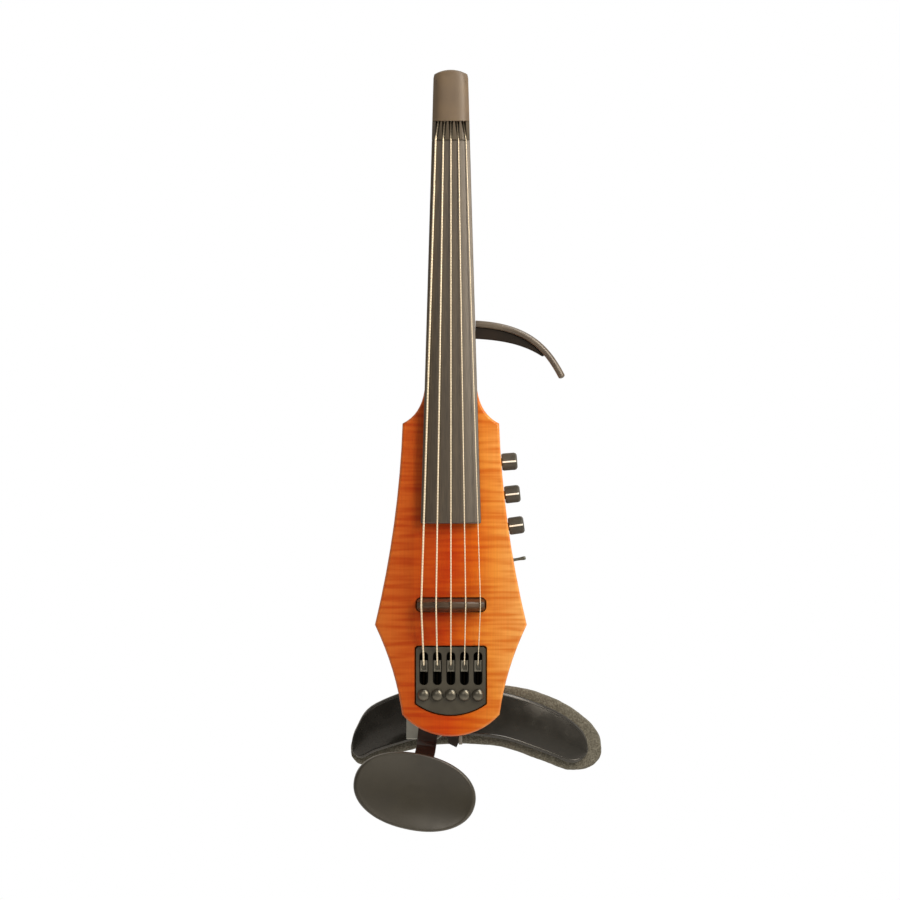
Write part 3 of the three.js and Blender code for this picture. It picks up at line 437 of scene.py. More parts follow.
def open_tree(name, **sizes):
    """A geometry tree with named inputs: a shape, its sizes and its surface."""
    tree = bpy.data.node_groups.new(name, "GeometryNodeTree")
    for socket, kind in {"Geometry": "Geometry", **sizes, "Surface": "Material"}.items():
        tree.interface.new_socket(socket.replace("_", " "), in_out="INPUT",
                                  socket_type=f"NodeSocket{kind}")
    tree.interface.new_socket("Geometry", in_out="OUTPUT", socket_type="NodeSocketGeometry")
    return tree, add_node(tree, "NodeGroupInput").outputs


def close_tree(tree, shape, surface):
    """Ends a tree: its shape is made real, takes its surface and goes out."""
    real = add_node(tree, "GeometryNodeRealizeInstances", {"Geometry": shape})
    painted = add_node(tree, "GeometryNodeSetMaterial", {"Geometry": real, "Material": surface})
    add_node(tree, "NodeGroupOutput", {"Geometry": painted})


def worked_mesh(piece):
    """A piece's mesh with its modifiers worked in."""
    bpy.context.view_layer.update()
    return bpy.data.meshes.new_from_object(
        piece.evaluated_get(bpy.context.evaluated_depsgraph_get()))


def grown(carrier, tree, name, **sizes):
    """Runs a tree on an object with its inputs set, and returns its result as a plain piece."""
    modifier = carrier.modifiers.new("grow", "NODES")
    modifier.node_group = tree
    named = {item.name: item.identifier for item in tree.interface.items_tree
             if item.item_type == "SOCKET" and item.in_out == "INPUT"}
    for size, value in sizes.items():
        modifier[named[size.replace("_", " ")]] = value
    carrier.update_tag()
    mesh = worked_mesh(carrier)
    mesh.name = name
    bpy.data.objects.remove(carrier)
    return made_object(name, mesh)


def routed(name, points):
    """A curve of straight runs through points, for a tree to work on."""
    curve = bpy.data.curves.new(name, "CURVE")
    curve.dimensions = "3D"
    line = curve.splines.new("POLY")
    line.points.add(len(points) - 1)
    for knot, point in zip(line.points, points):
        knot.co = (*point, 1)
    return made_object(name, curve)


def bent(points, reach):
    """The same route with each corner rounded off over a short reach."""
    soft = [points[0]]
    for before, corner, after in zip(points, points[1:], points[2:]):
        start = corner + (before - corner).normalized() * reach
        end = corner + (after - corner).normalized() * reach
        for step in range(5):
            t = step / 4
            soft.append(start * (1 - t) ** 2 + corner * 2 * t * (1 - t) + end * t ** 2)
    return soft + [points[-1]]


# The ribbon's turns are a third of a millimetre apart and catch the light as bright dashes. That
# is too fine to show, so they are drawn about 2 mm apart, as a bump and as paler bands painted
# into the colour as highlights. The strings' warm cream is partly their own tone and partly
# painted light from the orange body.
winding_turn = 2.0745
wave_texture_turn = math.tau / 20
wound, tree, shader, place = new_surface("ribbon_wound_steel_string")
winding = add_node(tree, "ShaderNodeTexWave", {
    "Vector": place, "Scale": per(winding_turn) * wave_texture_turn, "Distortion": 0.3},
    bands_direction="Z")
# Painted highlights: the paler bands paint the glints on the ribbon's turns, and the warm cream partly paints
# the orange body's light.
painted_glint_string_tone = add_node(tree, "ShaderNodeMix", {
    0: winding.outputs[1], 6: linear("e4d6b8"), 7: linear("fbf0d8")}, data_type="RGBA")
winding_bump = add_node(tree, "ShaderNodeBump", {
    "Strength": 0.25, "Distance": 0.03 * mm, "Height": winding.outputs[1]})
fill(tree, shader, {
    "Base Color": painted_glint_string_tone.outputs[2], "Normal": winding_bump, "Metallic": 0.2,
    "Roughness": 0.42})

# A round section is swept along a string's route.
sweep_tree, given = open_tree("wound_string", Radius="Float", Sides="Int")
section = add_node(sweep_tree, "GeometryNodeCurvePrimitiveCircle", {
    "Resolution": given["Sides"], "Radius": given["Radius"]})
sweep = add_node(sweep_tree, "GeometryNodeCurveToMesh", {
    "Curve": given["Geometry"], "Profile Curve": section.outputs["Curve"], "Fill Caps": True})
smooth = add_node(sweep_tree, "GeometryNodeSetShadeSmooth", {"Geometry": sweep})
close_tree(sweep_tree, smooth, given["Surface"])

for i, radius in enumerate(string_radii):
    across = i - (string_count - 1) / 2
    bridge_x = across * spacing["bridge"]
    nut_x = across * spacing["nut"]
    head_x = across * spacing["head"]
    nut_depth = body_front - rise_at_nut + crown_drop(nut_x)
    route = bent([
        Vector((across * spacing["tail"], carriage_groove, carriage_top)),
        Vector((bridge_x, body_front - rise_at_bridge + crown_drop(bridge_x), bridge_height)),
        Vector((nut_x, nut_depth, nut_height)),
        Vector((head_x, nut_depth + head_sink, nut_top)),
        Vector((head_x, nut_depth + head_sink, ball_height + ball_radius)),
    ], 1.5 * mm)
    string = grown(routed(f"route_{i + 1}", route), sweep_tree, f"wound_string_{i + 1}",
                   Radius=radius, Sides=14, Surface=wound)
    ball = bmesh.new()
    ball.from_mesh(string.data)
    bmesh.ops.create_uvsphere(ball, u_segments=16, v_segments=10, radius=ball_radius,
                              matrix=Matrix.Translation(route[-1]))
    ball.to_mesh(string.data)
    ball.free()
    finish(string, wound, "violin", "string_steel", f"string_{i + 1}")

# --- Bridge -------------------------------------------------------------------------------------
# One arched bar of ebony stands in a rounded slot on the pickup. Its top is a narrow crest that
# follows the strings' curve, its lower side is bowed, and each string has a shallow notch.

bridge_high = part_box("bridge")[1]
bridge_half = bridge_high[0]
bridge_steps = 64
crest = 2.4 * mm
bridge_upper = 5.0 * mm
bridge_bow = 4.2 * mm
bridge_lip = 0.9 * mm
notch_depth = 0.35 * mm


def lofted(name, rings):
    """A closed skin through rings of points, with flat ends."""
    count = len(rings[0])
    shape = bmesh.new()
    rows = [[shape.verts.new(point) for point in ring] for ring in rings]
    for row, following in zip(rows, rows[1:]):
        for j in range(count):
            k = (j + 1) % count
            shape.faces.new((row[j], row[k], following[k], following[j]))
    shape.faces.new(rows[0])
    shape.faces.new(rows[-1])
    bmesh.ops.remove_doubles(shape, verts=shape.verts, dist=merge_distance)
    bmesh.ops.recalc_face_normals(shape, faces=shape.faces)
    mesh = bpy.data.meshes.new(name)
    shape.to_mesh(mesh)
    shape.free()
    return made_object(name, mesh)


bridge_rings = []
for step in range(bridge_steps + 1):
    x = bridge_half * (2 * step / bridge_steps - 1)
    nearest = min(abs(x - (i - (string_count - 1) / 2) * spacing["bridge"]) for i in range(string_count))
    notch = notch_depth * max(0, 1 - (nearest / (0.8 * mm)) ** 2)
    top = body_front - rise_at_bridge + crown_drop(x) + 0.75 * mm + notch
    end = (abs(x) / bridge_half) ** 24
    bow = bridge_bow * (1 - 0.25 * (x / bridge_half) ** 2) - 1.2 * mm * end
    high = bridge_upper - 1.2 * mm * end
    lip = bow + bridge_lip
    section = [
        (bridge_high[1], high), (bridge_high[1], -bow), (body_front - 0.3 * mm, -bow),
        (body_front - 0.3 * mm, -lip), (body_front - 2.5 * mm, -lip + 0.2 * mm),
        (top + 2.0 * mm, -2.6 * mm), (top, -0.7 * mm), (top, crest - 0.7 * mm),
        (top + 1.0 * mm, crest + 0.4 * mm), (body_front - 2.5 * mm, high - 0.4 * mm), (body_front, high),
    ]
    bridge_rings.append([Vector((x, depth, bridge_height + rise)) for depth, rise in section])
bridge_wood = moulded("dark_brown_ebony_bridge", "38291b", "4a3826", 0.40, 0.8, shine=0.6)
finish(lofted("arched_bridge", bridge_rings), bridge_wood, "violin", "ebony", "bridge", edge=0.25 * mm)
repaint(brass, "bridge_pickup")

# --- Tail plate and tuning machine --------------------------------------------------------------
# A satin black aluminium cover plate lies in its recess over the machine's base. Behind each of
# its five slots a carriage holds a string's end and rides on a lead screw, which a domed knob
# turns through a pair of bevels.

plate_paint = moulded("satin_black_anodised_plate", "3b382f", "454238", 0.44, 0.6, 0.015, shine=0.5)
dressed("tail_plate", "slotted_tail_plate", plate_paint, "violin", "plate_black", edge=0.4 * mm,
        steps=3)
dark_moulding = moulded("moulded_black_base", "15130f", "1e1b16", 0.5, 0.6)
repaint(dark_moulding, "tuner_base")

carriage_metal = cast_metal("satin_aluminium_carriage", "8f8d84", "76746b", 0.38, 0.5)
knob_coat = cast_metal("black_nickelled_brass_knob", "76736a", "65635a", 0.36, 0.6)

# The lead screws are coloured a near-black brown.
screw_black = cast_metal("near_black_brass_screw", "2b2418", "1d1913", 0.45, 0.5)


def turned(name, profile, place, sides=48):
    """A profile of (radius, distance) pairs turned about the z axis of a place."""
    rings = []
    for radius, along in profile:
        rings.append([place @ Vector((radius * math.cos(math.tau * s / sides),
                                      radius * math.sin(math.tau * s / sides), along))
                      for s in range(sides)])
    return lofted(name, rings)


def axis_frame(point, axis, side):
    """A place whose z runs along an axis and whose x looks as near as it can to a side."""
    z = Vector(axis).normalized()
    x = (Vector(side) - z * Vector(side).dot(z)).normalized()
    turn = Matrix((x, z.cross(x), z)).transposed().to_4x4()
    return Matrix.Translation(point) @ turn


# A ridge is wound round a lead screw for its thread.
winding_tree, given = open_tree("screw_thread", Radius="Float", Pitch="Float", Turns="Float",
                                Ridge="Float", Foot="Vector")
height = add_node(winding_tree, "ShaderNodeMath", {
    0: given["Pitch"], 1: given["Turns"]}, operation="MULTIPLY")
spiral = add_node(winding_tree, "GeometryNodeCurveSpiral", {
    "Resolution": 16, "Rotations": given["Turns"], "Start Radius": given["Radius"],
    "End Radius": given["Radius"], "Height": height})
ridge = add_node(winding_tree, "GeometryNodeCurvePrimitiveCircle", {
    "Resolution": 4, "Radius": given["Ridge"]})
sweep = add_node(winding_tree, "GeometryNodeCurveToMesh", {
    "Curve": spiral, "Profile Curve": ridge.outputs["Curve"], "Fill Caps": True})
moved = add_node(winding_tree, "GeometryNodeTransform", {
    "Geometry": sweep, "Translation": given["Foot"]})
close_tree(winding_tree, moved, given["Surface"])

joints = {joint["name"]: joint for joint in frame["record"]["behaviour"]["joints"]}
tuner_radius = 4.25 * mm
tuner_dome = 3.4 * mm
screw_radius = 1.5 * mm
thread_pitch = 0.7 * mm
plate_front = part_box("tail_plate")[0][1]
for i in range(1, string_count + 1):
    dressed(f"carriage_{i}", f"string_carriage_{i}", carriage_metal, f"carriage_{i}", "aluminium",
            edge=0.18 * mm)
    hub = Vector(joints[f"tuner_turn_{i}"]["pos_m"])
    collar = hub.y - plate_front + 0.3 * mm
    profile = [(0, 1.6 * mm), (1.35 * mm, 1.6 * mm), (3.05 * mm, 3.3 * mm), (3.05 * mm, 3.6 * mm),
               (screw_radius, 3.6 * mm), (screw_radius, collar), (tuner_radius - 0.3 * mm, collar),
               (tuner_radius, collar + 0.3 * mm), (tuner_radius, collar + 0.8 * mm)]
    for step in range(1, 10):
        swing = math.radians(90) * step / 9
        profile.append((tuner_radius * math.cos(swing) ** 0.9,
                        collar + 0.8 * mm + (tuner_dome - 0.8 * mm) * math.sin(swing)))
    knob = turned(f"domed_tuning_knob_{i}", profile, axis_frame(hub, (0, -1, 0), (1, 0, 0)))
    finish(knob, knob_coat, f"tuning_knob_{i}", "black_brass", f"tuning_knob_{i}")
    repaint(screw_black, f"lead_screw_{i}")
    screw_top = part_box(f"lead_screw_{i}")[1][2]
    thread_foot = (hub.x, hub.y, hub.z + 5 * mm)
    thread_length = screw_top - hub.z - 6 * mm
    thread = grown(routed(f"thread_mark_{i}", [hub, hub + Vector((0, 0, mm))]), winding_tree,
                   f"lead_screw_thread_{i}", Radius=screw_radius, Pitch=thread_pitch,
                   Turns=thread_length / thread_pitch, Ridge=0.18 * mm, Foot=thread_foot, Surface=screw_black)
    finish(thread, screw_black, f"lead_screw_{i}", "brass")

# --- Control knobs and switch -------------------------------------------------------------------
# Three moulded black knobs stand on the side, for volume, treble and bass. Each has fine grip
# ribs, a chamfered end and a white line let into it. Below them is a small bat-shaped toggle.

knob_radius = 6.2 * mm
knob_start = 0.4 * mm
knob_length = 11.0 * mm
shaft_radius = 2.9 * mm
shaft_depth = 9.0 * mm
rib_count = 36
rib_radius = 0.22 * mm
line_width = 1.15 * mm

# Round ribs stand side by side around a knob.
ribs_tree, given = open_tree("grip_ribs", Ribs="Int", Ring_Radius="Float", Rib_Radius="Float",
                             Rib_Length="Float")
ring = add_node(ribs_tree, "GeometryNodeMeshCircle", {
    "Vertices": given["Ribs"], "Radius": given["Ring Radius"]})
rib = add_node(ribs_tree, "GeometryNodeMeshCylinder", {
    "Vertices": 8, "Radius": given["Rib Radius"], "Depth": given["Rib Length"]})
stand = add_node(ribs_tree, "GeometryNodeInstanceOnPoints", {"Points": ring, "Instance": rib})
close_tree(ribs_tree, stand, given["Surface"])

knob_plastic = moulded("moulded_black_knob_plastic", "34322a", "423f35", 0.42, 0.4, shine=0.7)
line_paint = moulded("white_line_inlay", "f4f0e4", "fffdf6", 0.5, 0.4)


def ribbed(name, place, radius, length, middle, count, material):
    """A ring of grip ribs, set at a place."""
    ribs = grown(routed(f"{name}_mark", [Vector((0, 0, 0)), Vector((0, 0, mm))]), ribs_tree, name,
                 Ribs=count, Ring_Radius=radius, Rib_Radius=rib_radius, Rib_Length=length, Surface=material)
    ribs.data.transform(place @ Matrix.Translation((0, 0, middle)))
    return ribs


for control in ("volume", "treble", "bass"):
    joint = joints[f"{control}_turn"]
    place = axis_frame(joint["pos_m"], joint["axis"], (0, -1, 0))
    end = knob_start + knob_length
    knob = turned(f"{control}_grip_knob", [
        (0, -shaft_depth), (shaft_radius, -shaft_depth), (shaft_radius, knob_start),
        (knob_radius - 0.8 * mm, knob_start), (knob_radius - 0.2 * mm, knob_start + 0.6 * mm),
        (knob_radius - 0.2 * mm, end - 1.3 * mm), (knob_radius - 0.5 * mm, end - 0.8 * mm),
        (knob_radius - 1.5 * mm, end - 0.1 * mm), (knob_radius - 1.9 * mm, end),
        (knob_radius - 2.6 * mm, end - 0.35 * mm), (0, end - 0.35 * mm)], place, 72)
    finish(knob, knob_plastic, f"{control}_knob", "knob_black", f"{control}_knob")
    grip = ribbed(f"{control}_grip_ribs", place, knob_radius - 0.25 * mm, knob_length - 3 * mm,
                  knob_start + knob_length / 2 - 0.4 * mm, rib_count, knob_plastic)
    finish(grip, knob_plastic, f"{control}_knob", "knob_black")
    face_out = knob_radius + 0.12 * mm
    line_rings = []
    for along, out in ((knob_start + 0.5 * mm, face_out), (end - 1.4 * mm, face_out),
                       (end - 0.8 * mm, face_out - 0.35 * mm)):
        line_rings.append([place @ Vector((depth, side * line_width / 2, along)) for depth, side in (
            (out - 0.8 * mm, -1), (out, -1), (out, 1), (out - 0.8 * mm, 1))])
    finish(lofted(f"{control}_white_line", line_rings), line_paint, f"{control}_knob", "knob_black",
           edge=0.08 * mm)

lever_metal = cast_metal("dark_nickel_lever", "6d7068", "575a52", 0.36, 0.4)
lever_lean = math.radians(9.866)
lever_ball = 1.4 * mm
lever_axis = Vector((math.cos(lever_lean), 0, math.sin(lever_lean)))
lever_foot = Vector(joints["mode_switch_throw"]["pos_m"]) + lever_axis * lever_ball
lever_place = axis_frame(lever_foot, lever_axis, (0, -1, 0))
lever = turned("bat_toggle_lever", [
    (0, -lever_ball), (1.35 * mm, -1.0 * mm), (1.05 * mm, 1.0 * mm), (1.0 * mm, 2.6 * mm),
    (1.12 * mm, 5.2 * mm), (1.36 * mm, 7.4 * mm), (1.34 * mm, 8.3 * mm), (0.95 * mm, 8.85 * mm),
    (0, 9.0 * mm)], lever_place, 32)
finish(lever, lever_metal, "mode_switch", "nickel", "mode_switch_lever")

nickel = cast_metal("plated_nickel", "b5b0a4", "9c978b", 0.30, 0.3)
dressed("mode_switch_body", "toggle_switch_body", nickel, "violin", "nickel", edge=0.2 * mm)
for control in ("volume", "treble", "bass"):
    dressed(f"{control}_pot", f"{control}_potentiometer", nickel, "violin", "nickel", edge=0.2 * mm)

# --- Preamp, battery, jack and covers -----------------------------------------------------------
# Behind the back covers lie the preamp's board and a nine-volt battery. The output jack is a
# plated barrel let into the left side. The covers are moulded plates; one is a hinged door.

board_coat, tree, shader, place = new_surface("green_solder_resist")
tracks = add_node(tree, "ShaderNodeTexVoronoi", {"Vector": place, "Scale": per(2.5)},
                  feature="DISTANCE_TO_EDGE", distance="MANHATTAN")
track_share = add_node(tree, "ShaderNodeMath", {0: tracks, 1: 0.12}, operation="LESS_THAN")
track_tone = add_node(tree, "ShaderNodeMix", {
    0: track_share, 6: linear("14552f"), 7: linear("2f7a45")}, data_type="RGBA")
fill(tree, shader, {"Base Color": track_tone.outputs[2], "Roughness": 0.35})
repaint(board_coat, "preamp_board")

battery_coat = moulded("lacquered_battery_case", "1f2024", "34353a", 0.3, 0.8)
repaint(battery_coat, "battery")
dressed("output_jack", "output_jack_barrel", nickel, "violin", "nickel", edge=0.3 * mm)
cover_plastic = moulded("textured_black_cover_plastic", "24221d", "2e2b25", 0.55, 0.7, 0.05)
dressed("control_cover", "control_cover_plate", cover_plastic, "violin", "satin_black",
        edge=0.3 * mm)
dressed("battery_door", "battery_door_leaf", cover_plastic, "battery_door", "satin_black",
        edge=0.3 * mm)

# Finger ribs moulded on the door's free end, so that it can be thumbed open.
door_low, door_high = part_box("battery_door")
for row in range(5):
    height = door_high[2] - (3 + 2.2 * row) * mm
    ridge = [Vector((x * 7 * mm + (door_low[0] + door_high[0]) / 2, door_high[1] - 0.2 * mm, height))
             for x in (-1, 1)]
    rib = grown(routed(f"door_mark_{row}", ridge), sweep_tree, f"door_grip_rib_{row + 1}",
                Radius=0.5 * mm, Sides=12, Surface=cover_plastic)
    finish(rib, cover_plastic, "battery_door", "satin_black")

screw_steel = cast_metal("black_zinc_screw_steel", "8c8980", "6f6c64", 0.35, 0.4)
cross_length = 2.8 * mm
cross_width = 0.55 * mm
for i in (1, 2):
    head = copy_of(f"cover_screw_{i}", f"cross_head_screw_{i}")
    low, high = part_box(f"cover_screw_{i}")
    centre = [(low[axis] + high[axis]) / 2 for axis in range(3)]
    cutter_shape = bmesh.new()
    for size in ((cross_length, cross_width), (cross_width, cross_length)):
        bmesh.ops.create_cube(cutter_shape, size=1, matrix=(
            Matrix.Translation((centre[0], high[1], centre[2]))
            @ Matrix.Diagonal((size[0], 1.4 * mm, size[1], 1))))
    cutter_mesh = bpy.data.meshes.new("cross_cutter")
    cutter_shape.to_mesh(cutter_mesh)
    cutter_shape.free()
    cutter = made_object("cross_cutter", cutter_mesh)
    recess = head.modifiers.new("recess", "BOOLEAN")
    recess.operation = "DIFFERENCE"
    recess.use_self = True
    recess.object = cutter
    cut_mesh = worked_mesh(head)
    head.modifiers.clear()
    head.data = cut_mesh
    bpy.data.objects.remove(cutter)
    finish(head, screw_steel, "violin", "nickel", f"cover_screw_{i}")

# --- Side arm -----------------------------------------------------------------------------------
# The curved arm beside the neck, which the player's hand finds in place of a body's shoulder. A
# strip bent from black nylon is stiffened underneath by a thinner rib that runs out half way. The
# strip's nylon is painted lighter, as lit, and the rib's darker, as in shade beneath it.

arm_height = body_end + 288.5 * mm
arm_reach = 62.5 * mm
arm_drop = 38.2 * mm
arm_thickness = 4.8 * mm
arm_root_width = 13 * mm
rib_share = 0.68
rib_tip_width = 1.8 * mm
rib_taper = 1.8
root_bite = 0.6 * mm
arm_low, arm_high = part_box("side_arm")
arm_root = Vector((arm_low[0], arm_height + arm_root_width / 2))


def cubic(t, points):
    """A point on a cubic curve."""
    weights = ((1 - t) ** 3, 3 * t * (1 - t) ** 2, 3 * t ** 2 * (1 - t), t ** 3)
    return sum((point * weight for point, weight in zip(points, weights)), Vector((0, 0)))


arm_points = [
    arm_root,
    arm_root + Vector((0.607 * arm_reach, -0.053 * arm_drop)),
    arm_root + Vector((0.832 * arm_reach, -0.475 * arm_drop)),
    arm_root + Vector((arm_reach, -arm_drop)),
]


def arm_edge(t, inwards):
    """A point set in from the arm's outer edge."""
    here = cubic(t, arm_points)
    ahead = (cubic(min(t + 0.01, 1), arm_points) - cubic(max(t - 0.01, 0), arm_points)).normalized()
    spot = here + Vector((ahead.y, -ahead.x)) * inwards
    return Vector((max(spot.x, arm_root.x), spot.y))


def rounded_section(top, low, front, back, soft, corner_steps=5, face_steps=8, crown=0.0):
    """A ring across a strip, from an upper to a lower point, with round corners and a crown."""
    across = low - top
    width = across.length
    soft = min(soft, width / 2.02, (back - front) / 2.02)
    corners = [(soft, front + soft, 180), (width - soft, front + soft, 270),
               (width - soft, back - soft, 0), (soft, back - soft, 90)]
    spots = []
    for centre, depth, start in corners:
        for step in range(corner_steps + 1):
            angle = math.radians(start + 90 * step / corner_steps)
            spots.append((centre + soft * math.cos(angle), depth + soft * math.sin(angle), start))
        if start == 180:
            spots += [(soft + (width - 2 * soft) * step / face_steps, front, start)
                      for step in range(1, face_steps)]
    ring = []
    for along, depth, start in spots:
        share = along / width
        spot = top + across * share
        proud = crown * (1 - (2 * share - 1) ** 2) if start in (180, 270) else 0
        ring.append(Vector((spot.x, depth - proud, spot.y)))
    return ring


def round_end(rings, bulge, steps=5):
    """Closes a strip's far end with a half-round cap that stands out by a bulge."""
    last = rings[-1]
    centre = sum(last, Vector()) / len(last)
    outwards = (centre - sum(rings[-2], Vector()) / len(last)).normalized()
    cap = []
    for step in range(1, steps + 1):
        angle = math.radians(88) * step / steps
        cap.append([centre + (point - centre) * math.cos(angle) + outwards * bulge * math.sin(angle)
                    for point in last])
    return rings + cap


arm_front, arm_back = arm_low[1], arm_high[1]
arm_steps = 40
arm_rings = [rounded_section(arm_edge(t, 0), arm_edge(t, arm_thickness), arm_front, arm_back, 2.3 * mm, 7)
             for t in (step / arm_steps for step in range(arm_steps + 1))]
rib_low, rib_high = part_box("arm_rib")
rib_rings = []
for step in range(arm_steps + 1):
    share = step / arm_steps
    t = share * rib_share
    top = arm_edge(t, arm_thickness - 0.3 * mm)
    foot = arm_edge(t, arm_root_width + (arm_thickness + rib_tip_width - arm_root_width) * share ** rib_taper)
    rib_rings.append(rounded_section(top, foot, rib_low[1], rib_high[1], 1.0 * mm))
# One black nylon in two copies: the strip's colour is a painted light tone and the rib's a painted shade
# tone.
lit_copy_arm_nylon = moulded("painted_lit_black_nylon_arm", "4a4036", "5c5244", 0.36, 0.5, shine=0.8)
shaded_copy_rib_nylon = moulded("painted_shade_black_nylon_rib", "150e08", "1e150c", 0.5, 0.5, shine=0.25)
for rings in (arm_rings, rib_rings):
    rings.insert(0, [point - Vector((root_bite, 0, 0)) for point in rings[0]])
finish(lofted("curved_side_arm", round_end(arm_rings, 1.6 * mm)), lit_copy_arm_nylon, "violin", "arm_black",
       "side_arm")
finish(lofted("side_arm_rib", round_end(rib_rings, 1.6 * mm)), shaded_copy_rib_nylon, "violin", "arm_black",
       "arm_rib")

# --- Shoulder rest ------------------------------------------------------------------------------
# A glossy black shell, moulded as a curved boomerang with a rolled rim, carries a thick pad of
# charcoal foam on its back. An aluminium plate on its front turns on the hub's round seat, and
# the hub tilts in a bracket screwed to the violin's back.

rest_setback = 19 * mm
rest_sweep = 17 * mm
rest_middle = 12 * mm
rest_half = 90 * mm
shell_thickness = 5 * mm
shell_crown = 1.6 * mm
end_corner = 3.6 * mm
pad_thickness = 12 * mm
rest_steps = 72
shell_upper = [(-71.8, -10), (-68, 4), (-54, 21.7), (-10, 35.5), (39, 29.4), (74, 17), (93, 3.5), (99, -9.5)]
shell_lower = [(-69, -16), (-63, -17.5), (-50, -11.6), (-10, -1.2), (34, -3.2), (68, -14.2), (86, -21),
               (96.6, -17.5)]
pad_upper = [(-72.3, -13), (-68.5, 1), (-54, 20.5), (-10, 34.5), (39.7, 34.5), (74.4, 25), (100, 7.7),
             (110, -9.5)]
pad_lower = [(-70, -19.5), (-62.3, -22.6), (-50, -17.8), (-10, -7.9), (33, -8.9), (63, -18.6),
             (84, -26.2), (104, -24.6)]


def along_outline(outline, share):
    """A point on the smooth curve through an outline's points, given in mm above the body's end."""
    points = [Vector((x * mm, body_end + z * mm)) for x, z in outline]
    reach = share * (len(points) - 1)
    i = min(int(reach), len(points) - 2)
    t = reach - i
    a, b = points[max(i - 1, 0)], points[i]
    c, d = points[i + 1], points[min(i + 2, len(points) - 1)]
    return 0.5 * (2 * b + (c - a) * t + (2 * a - 5 * b + 4 * c - d) * t ** 2
                  + (3 * b - a - 3 * c + d) * t ** 3)


def rest_front(x):
    """The depth of the shell's front, which sweeps back towards its ends."""
    return rest_setback + rest_sweep * ((x - rest_middle) / rest_half) ** 2


def rest_rings(upper, lower, setback, thickness, soft, corner, crown=0.0):
    """Rings along a rest's outline, whose two ends have corners rounded to a radius."""
    chords = [(along_outline(upper, share), along_outline(lower, share)) for share in (0, 1)]
    ends = [((top + low) / 2, min(corner, 0.45 * (top - low).length)) for top, low in chords]
    rings = []
    for step in range(rest_steps + 1):
        share = (1 - math.cos(math.pi * step / rest_steps)) / 2
        top, low = along_outline(upper, share), along_outline(lower, share)
        middle = (top + low) / 2
        drawn_in = Vector((0, 0))
        for end, soft_end in ends:
            left = max(0, soft_end - (middle - end).length)
            drawn_in += (low - top).normalized() * (soft_end - math.sqrt(soft_end ** 2 - left ** 2))
        outer = min(1, abs(middle.x - rest_middle) / (rest_half / 2)) ** 2
        ring = rounded_section(top + drawn_in, low - drawn_in, 0, thickness, soft, crown=crown * outer)
        rings.append([point + Vector((0, rest_front(point.x) + setback, 0)) for point in ring])
    return rings


shell_plastic, tree, shader, place = new_surface("glossy_black_shell_plastic")
smears = add_node(tree, "ShaderNodeTexNoise", {"Vector": place, "Scale": per(11), "Detail": 4.0})
smear_tone = add_node(tree, "ShaderNodeMix", {
    0: smears, 6: linear("15140f"), 7: linear("211f18")}, data_type="RGBA")
smear_rough = add_node(tree, "ShaderNodeMapRange", {
    "Value": smears, "From Min": 0.35, "From Max": 0.65, "To Min": 0.16, "To Max": 0.30})
fill(tree, shader, {
    "Base Color": smear_tone.outputs[2], "Roughness": smear_rough, "IOR": 1.53,
    "Coat Weight": 0.3, "Coat Roughness": 0.08})
shell = lofted("glossy_rest_shell", rest_rings(
    shell_upper, shell_lower, 0, shell_thickness, 1.6 * mm, end_corner, shell_crown))
finish(shell, shell_plastic, "shoulder_rest", "gloss_black", "rest_shell")

# The rolled rim: a round bead that follows the shell's edge a little way in.
rim_inset = 1.9 * mm
rim_radius = 0.8 * mm
rim_far = 18
rim_rings = [ring for ring in rest_rings(
    shell_upper, shell_lower, 0, shell_thickness, 1.6 * mm, end_corner)[::2]
    if (ring[rim_far] - ring[0]).length > 4.5 * mm]
rim_route = []
for rings, first, last in ((rim_rings, 0, rim_far), (rim_rings[::-1], rim_far, 0)):
    for ring in rings:
        edge_point = ring[first]
        across = (ring[last] - edge_point).normalized()
        spot = edge_point + across * rim_inset
        rim_route.append(Vector((spot.x, rest_front(spot.x) + 0.1 * mm, spot.z)))
rim_route.append(rim_route[0])
rim = grown(routed("rim_mark", rim_route), sweep_tree, "shell_rolled_rim", Radius=rim_radius, Sides=12,
            Surface=shell_plastic)
finish(rim, shell_plastic, "shoulder_rest", "gloss_black")

# Cellular foam: a dull charcoal with open cells about a millimetre across, cut to shape with a
# slightly uneven skin that swells between its edges.
cell_size = 1.1
foam, tree, shader, place = new_surface("charcoal_cellular_foam")
cells = add_node(tree, "ShaderNodeTexVoronoi", {"Vector": place, "Scale": per(cell_size), "Randomness": 1.0})
fuzz = add_node(tree, "ShaderNodeTexNoise", {"Vector": place, "Scale": per(0.9), "Detail": 5.0})
mottle = add_node(tree, "ShaderNodeMath", {0: cells, 1: fuzz}, operation="MULTIPLY")
cell_tone = add_node(tree, "ShaderNodeValToRGB", {0: mottle})
set_stops(cell_tone, (0.05, linear("4a483e")), (0.42, linear("76746a")))
cell_bump = add_node(tree, "ShaderNodeBump", {
    "Strength": 0.9, "Distance": 0.5 * mm, "Height": mottle})
fill(tree, shader, {
    "Base Color": cell_tone, "Normal": cell_bump, "Roughness": 0.95,
    "Specular IOR Level": 0.2, "Sheen Weight": 0.15})

pad = lofted("charcoal_foam_pad", rest_rings(
    pad_upper, pad_lower, shell_thickness + 0.3 * mm, pad_thickness, 3 * mm, 2 * end_corner))
pad.data.materials.append(foam)
fine = pad.modifiers.new("fine", "SUBSURF")
fine.levels = 2
fine.render_levels = 2
lumps = bpy.data.textures.new("foam_lumps", "CLOUDS")
lumps.noise_scale = 7 * mm
lumps.noise_depth = 3
uneven = pad.modifiers.new("uneven", "DISPLACE")
uneven.texture = lumps
uneven.texture_coords = "LOCAL"
uneven.strength = 0.9 * mm
uneven.mid_level = 0.5
pad_mesh = worked_mesh(pad)
pad.modifiers.clear()
pad.data = pad_mesh
for face in pad_mesh.polygons:
    face.use_smooth = True
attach(pad, "shoulder_rest")
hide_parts("rest_pad")

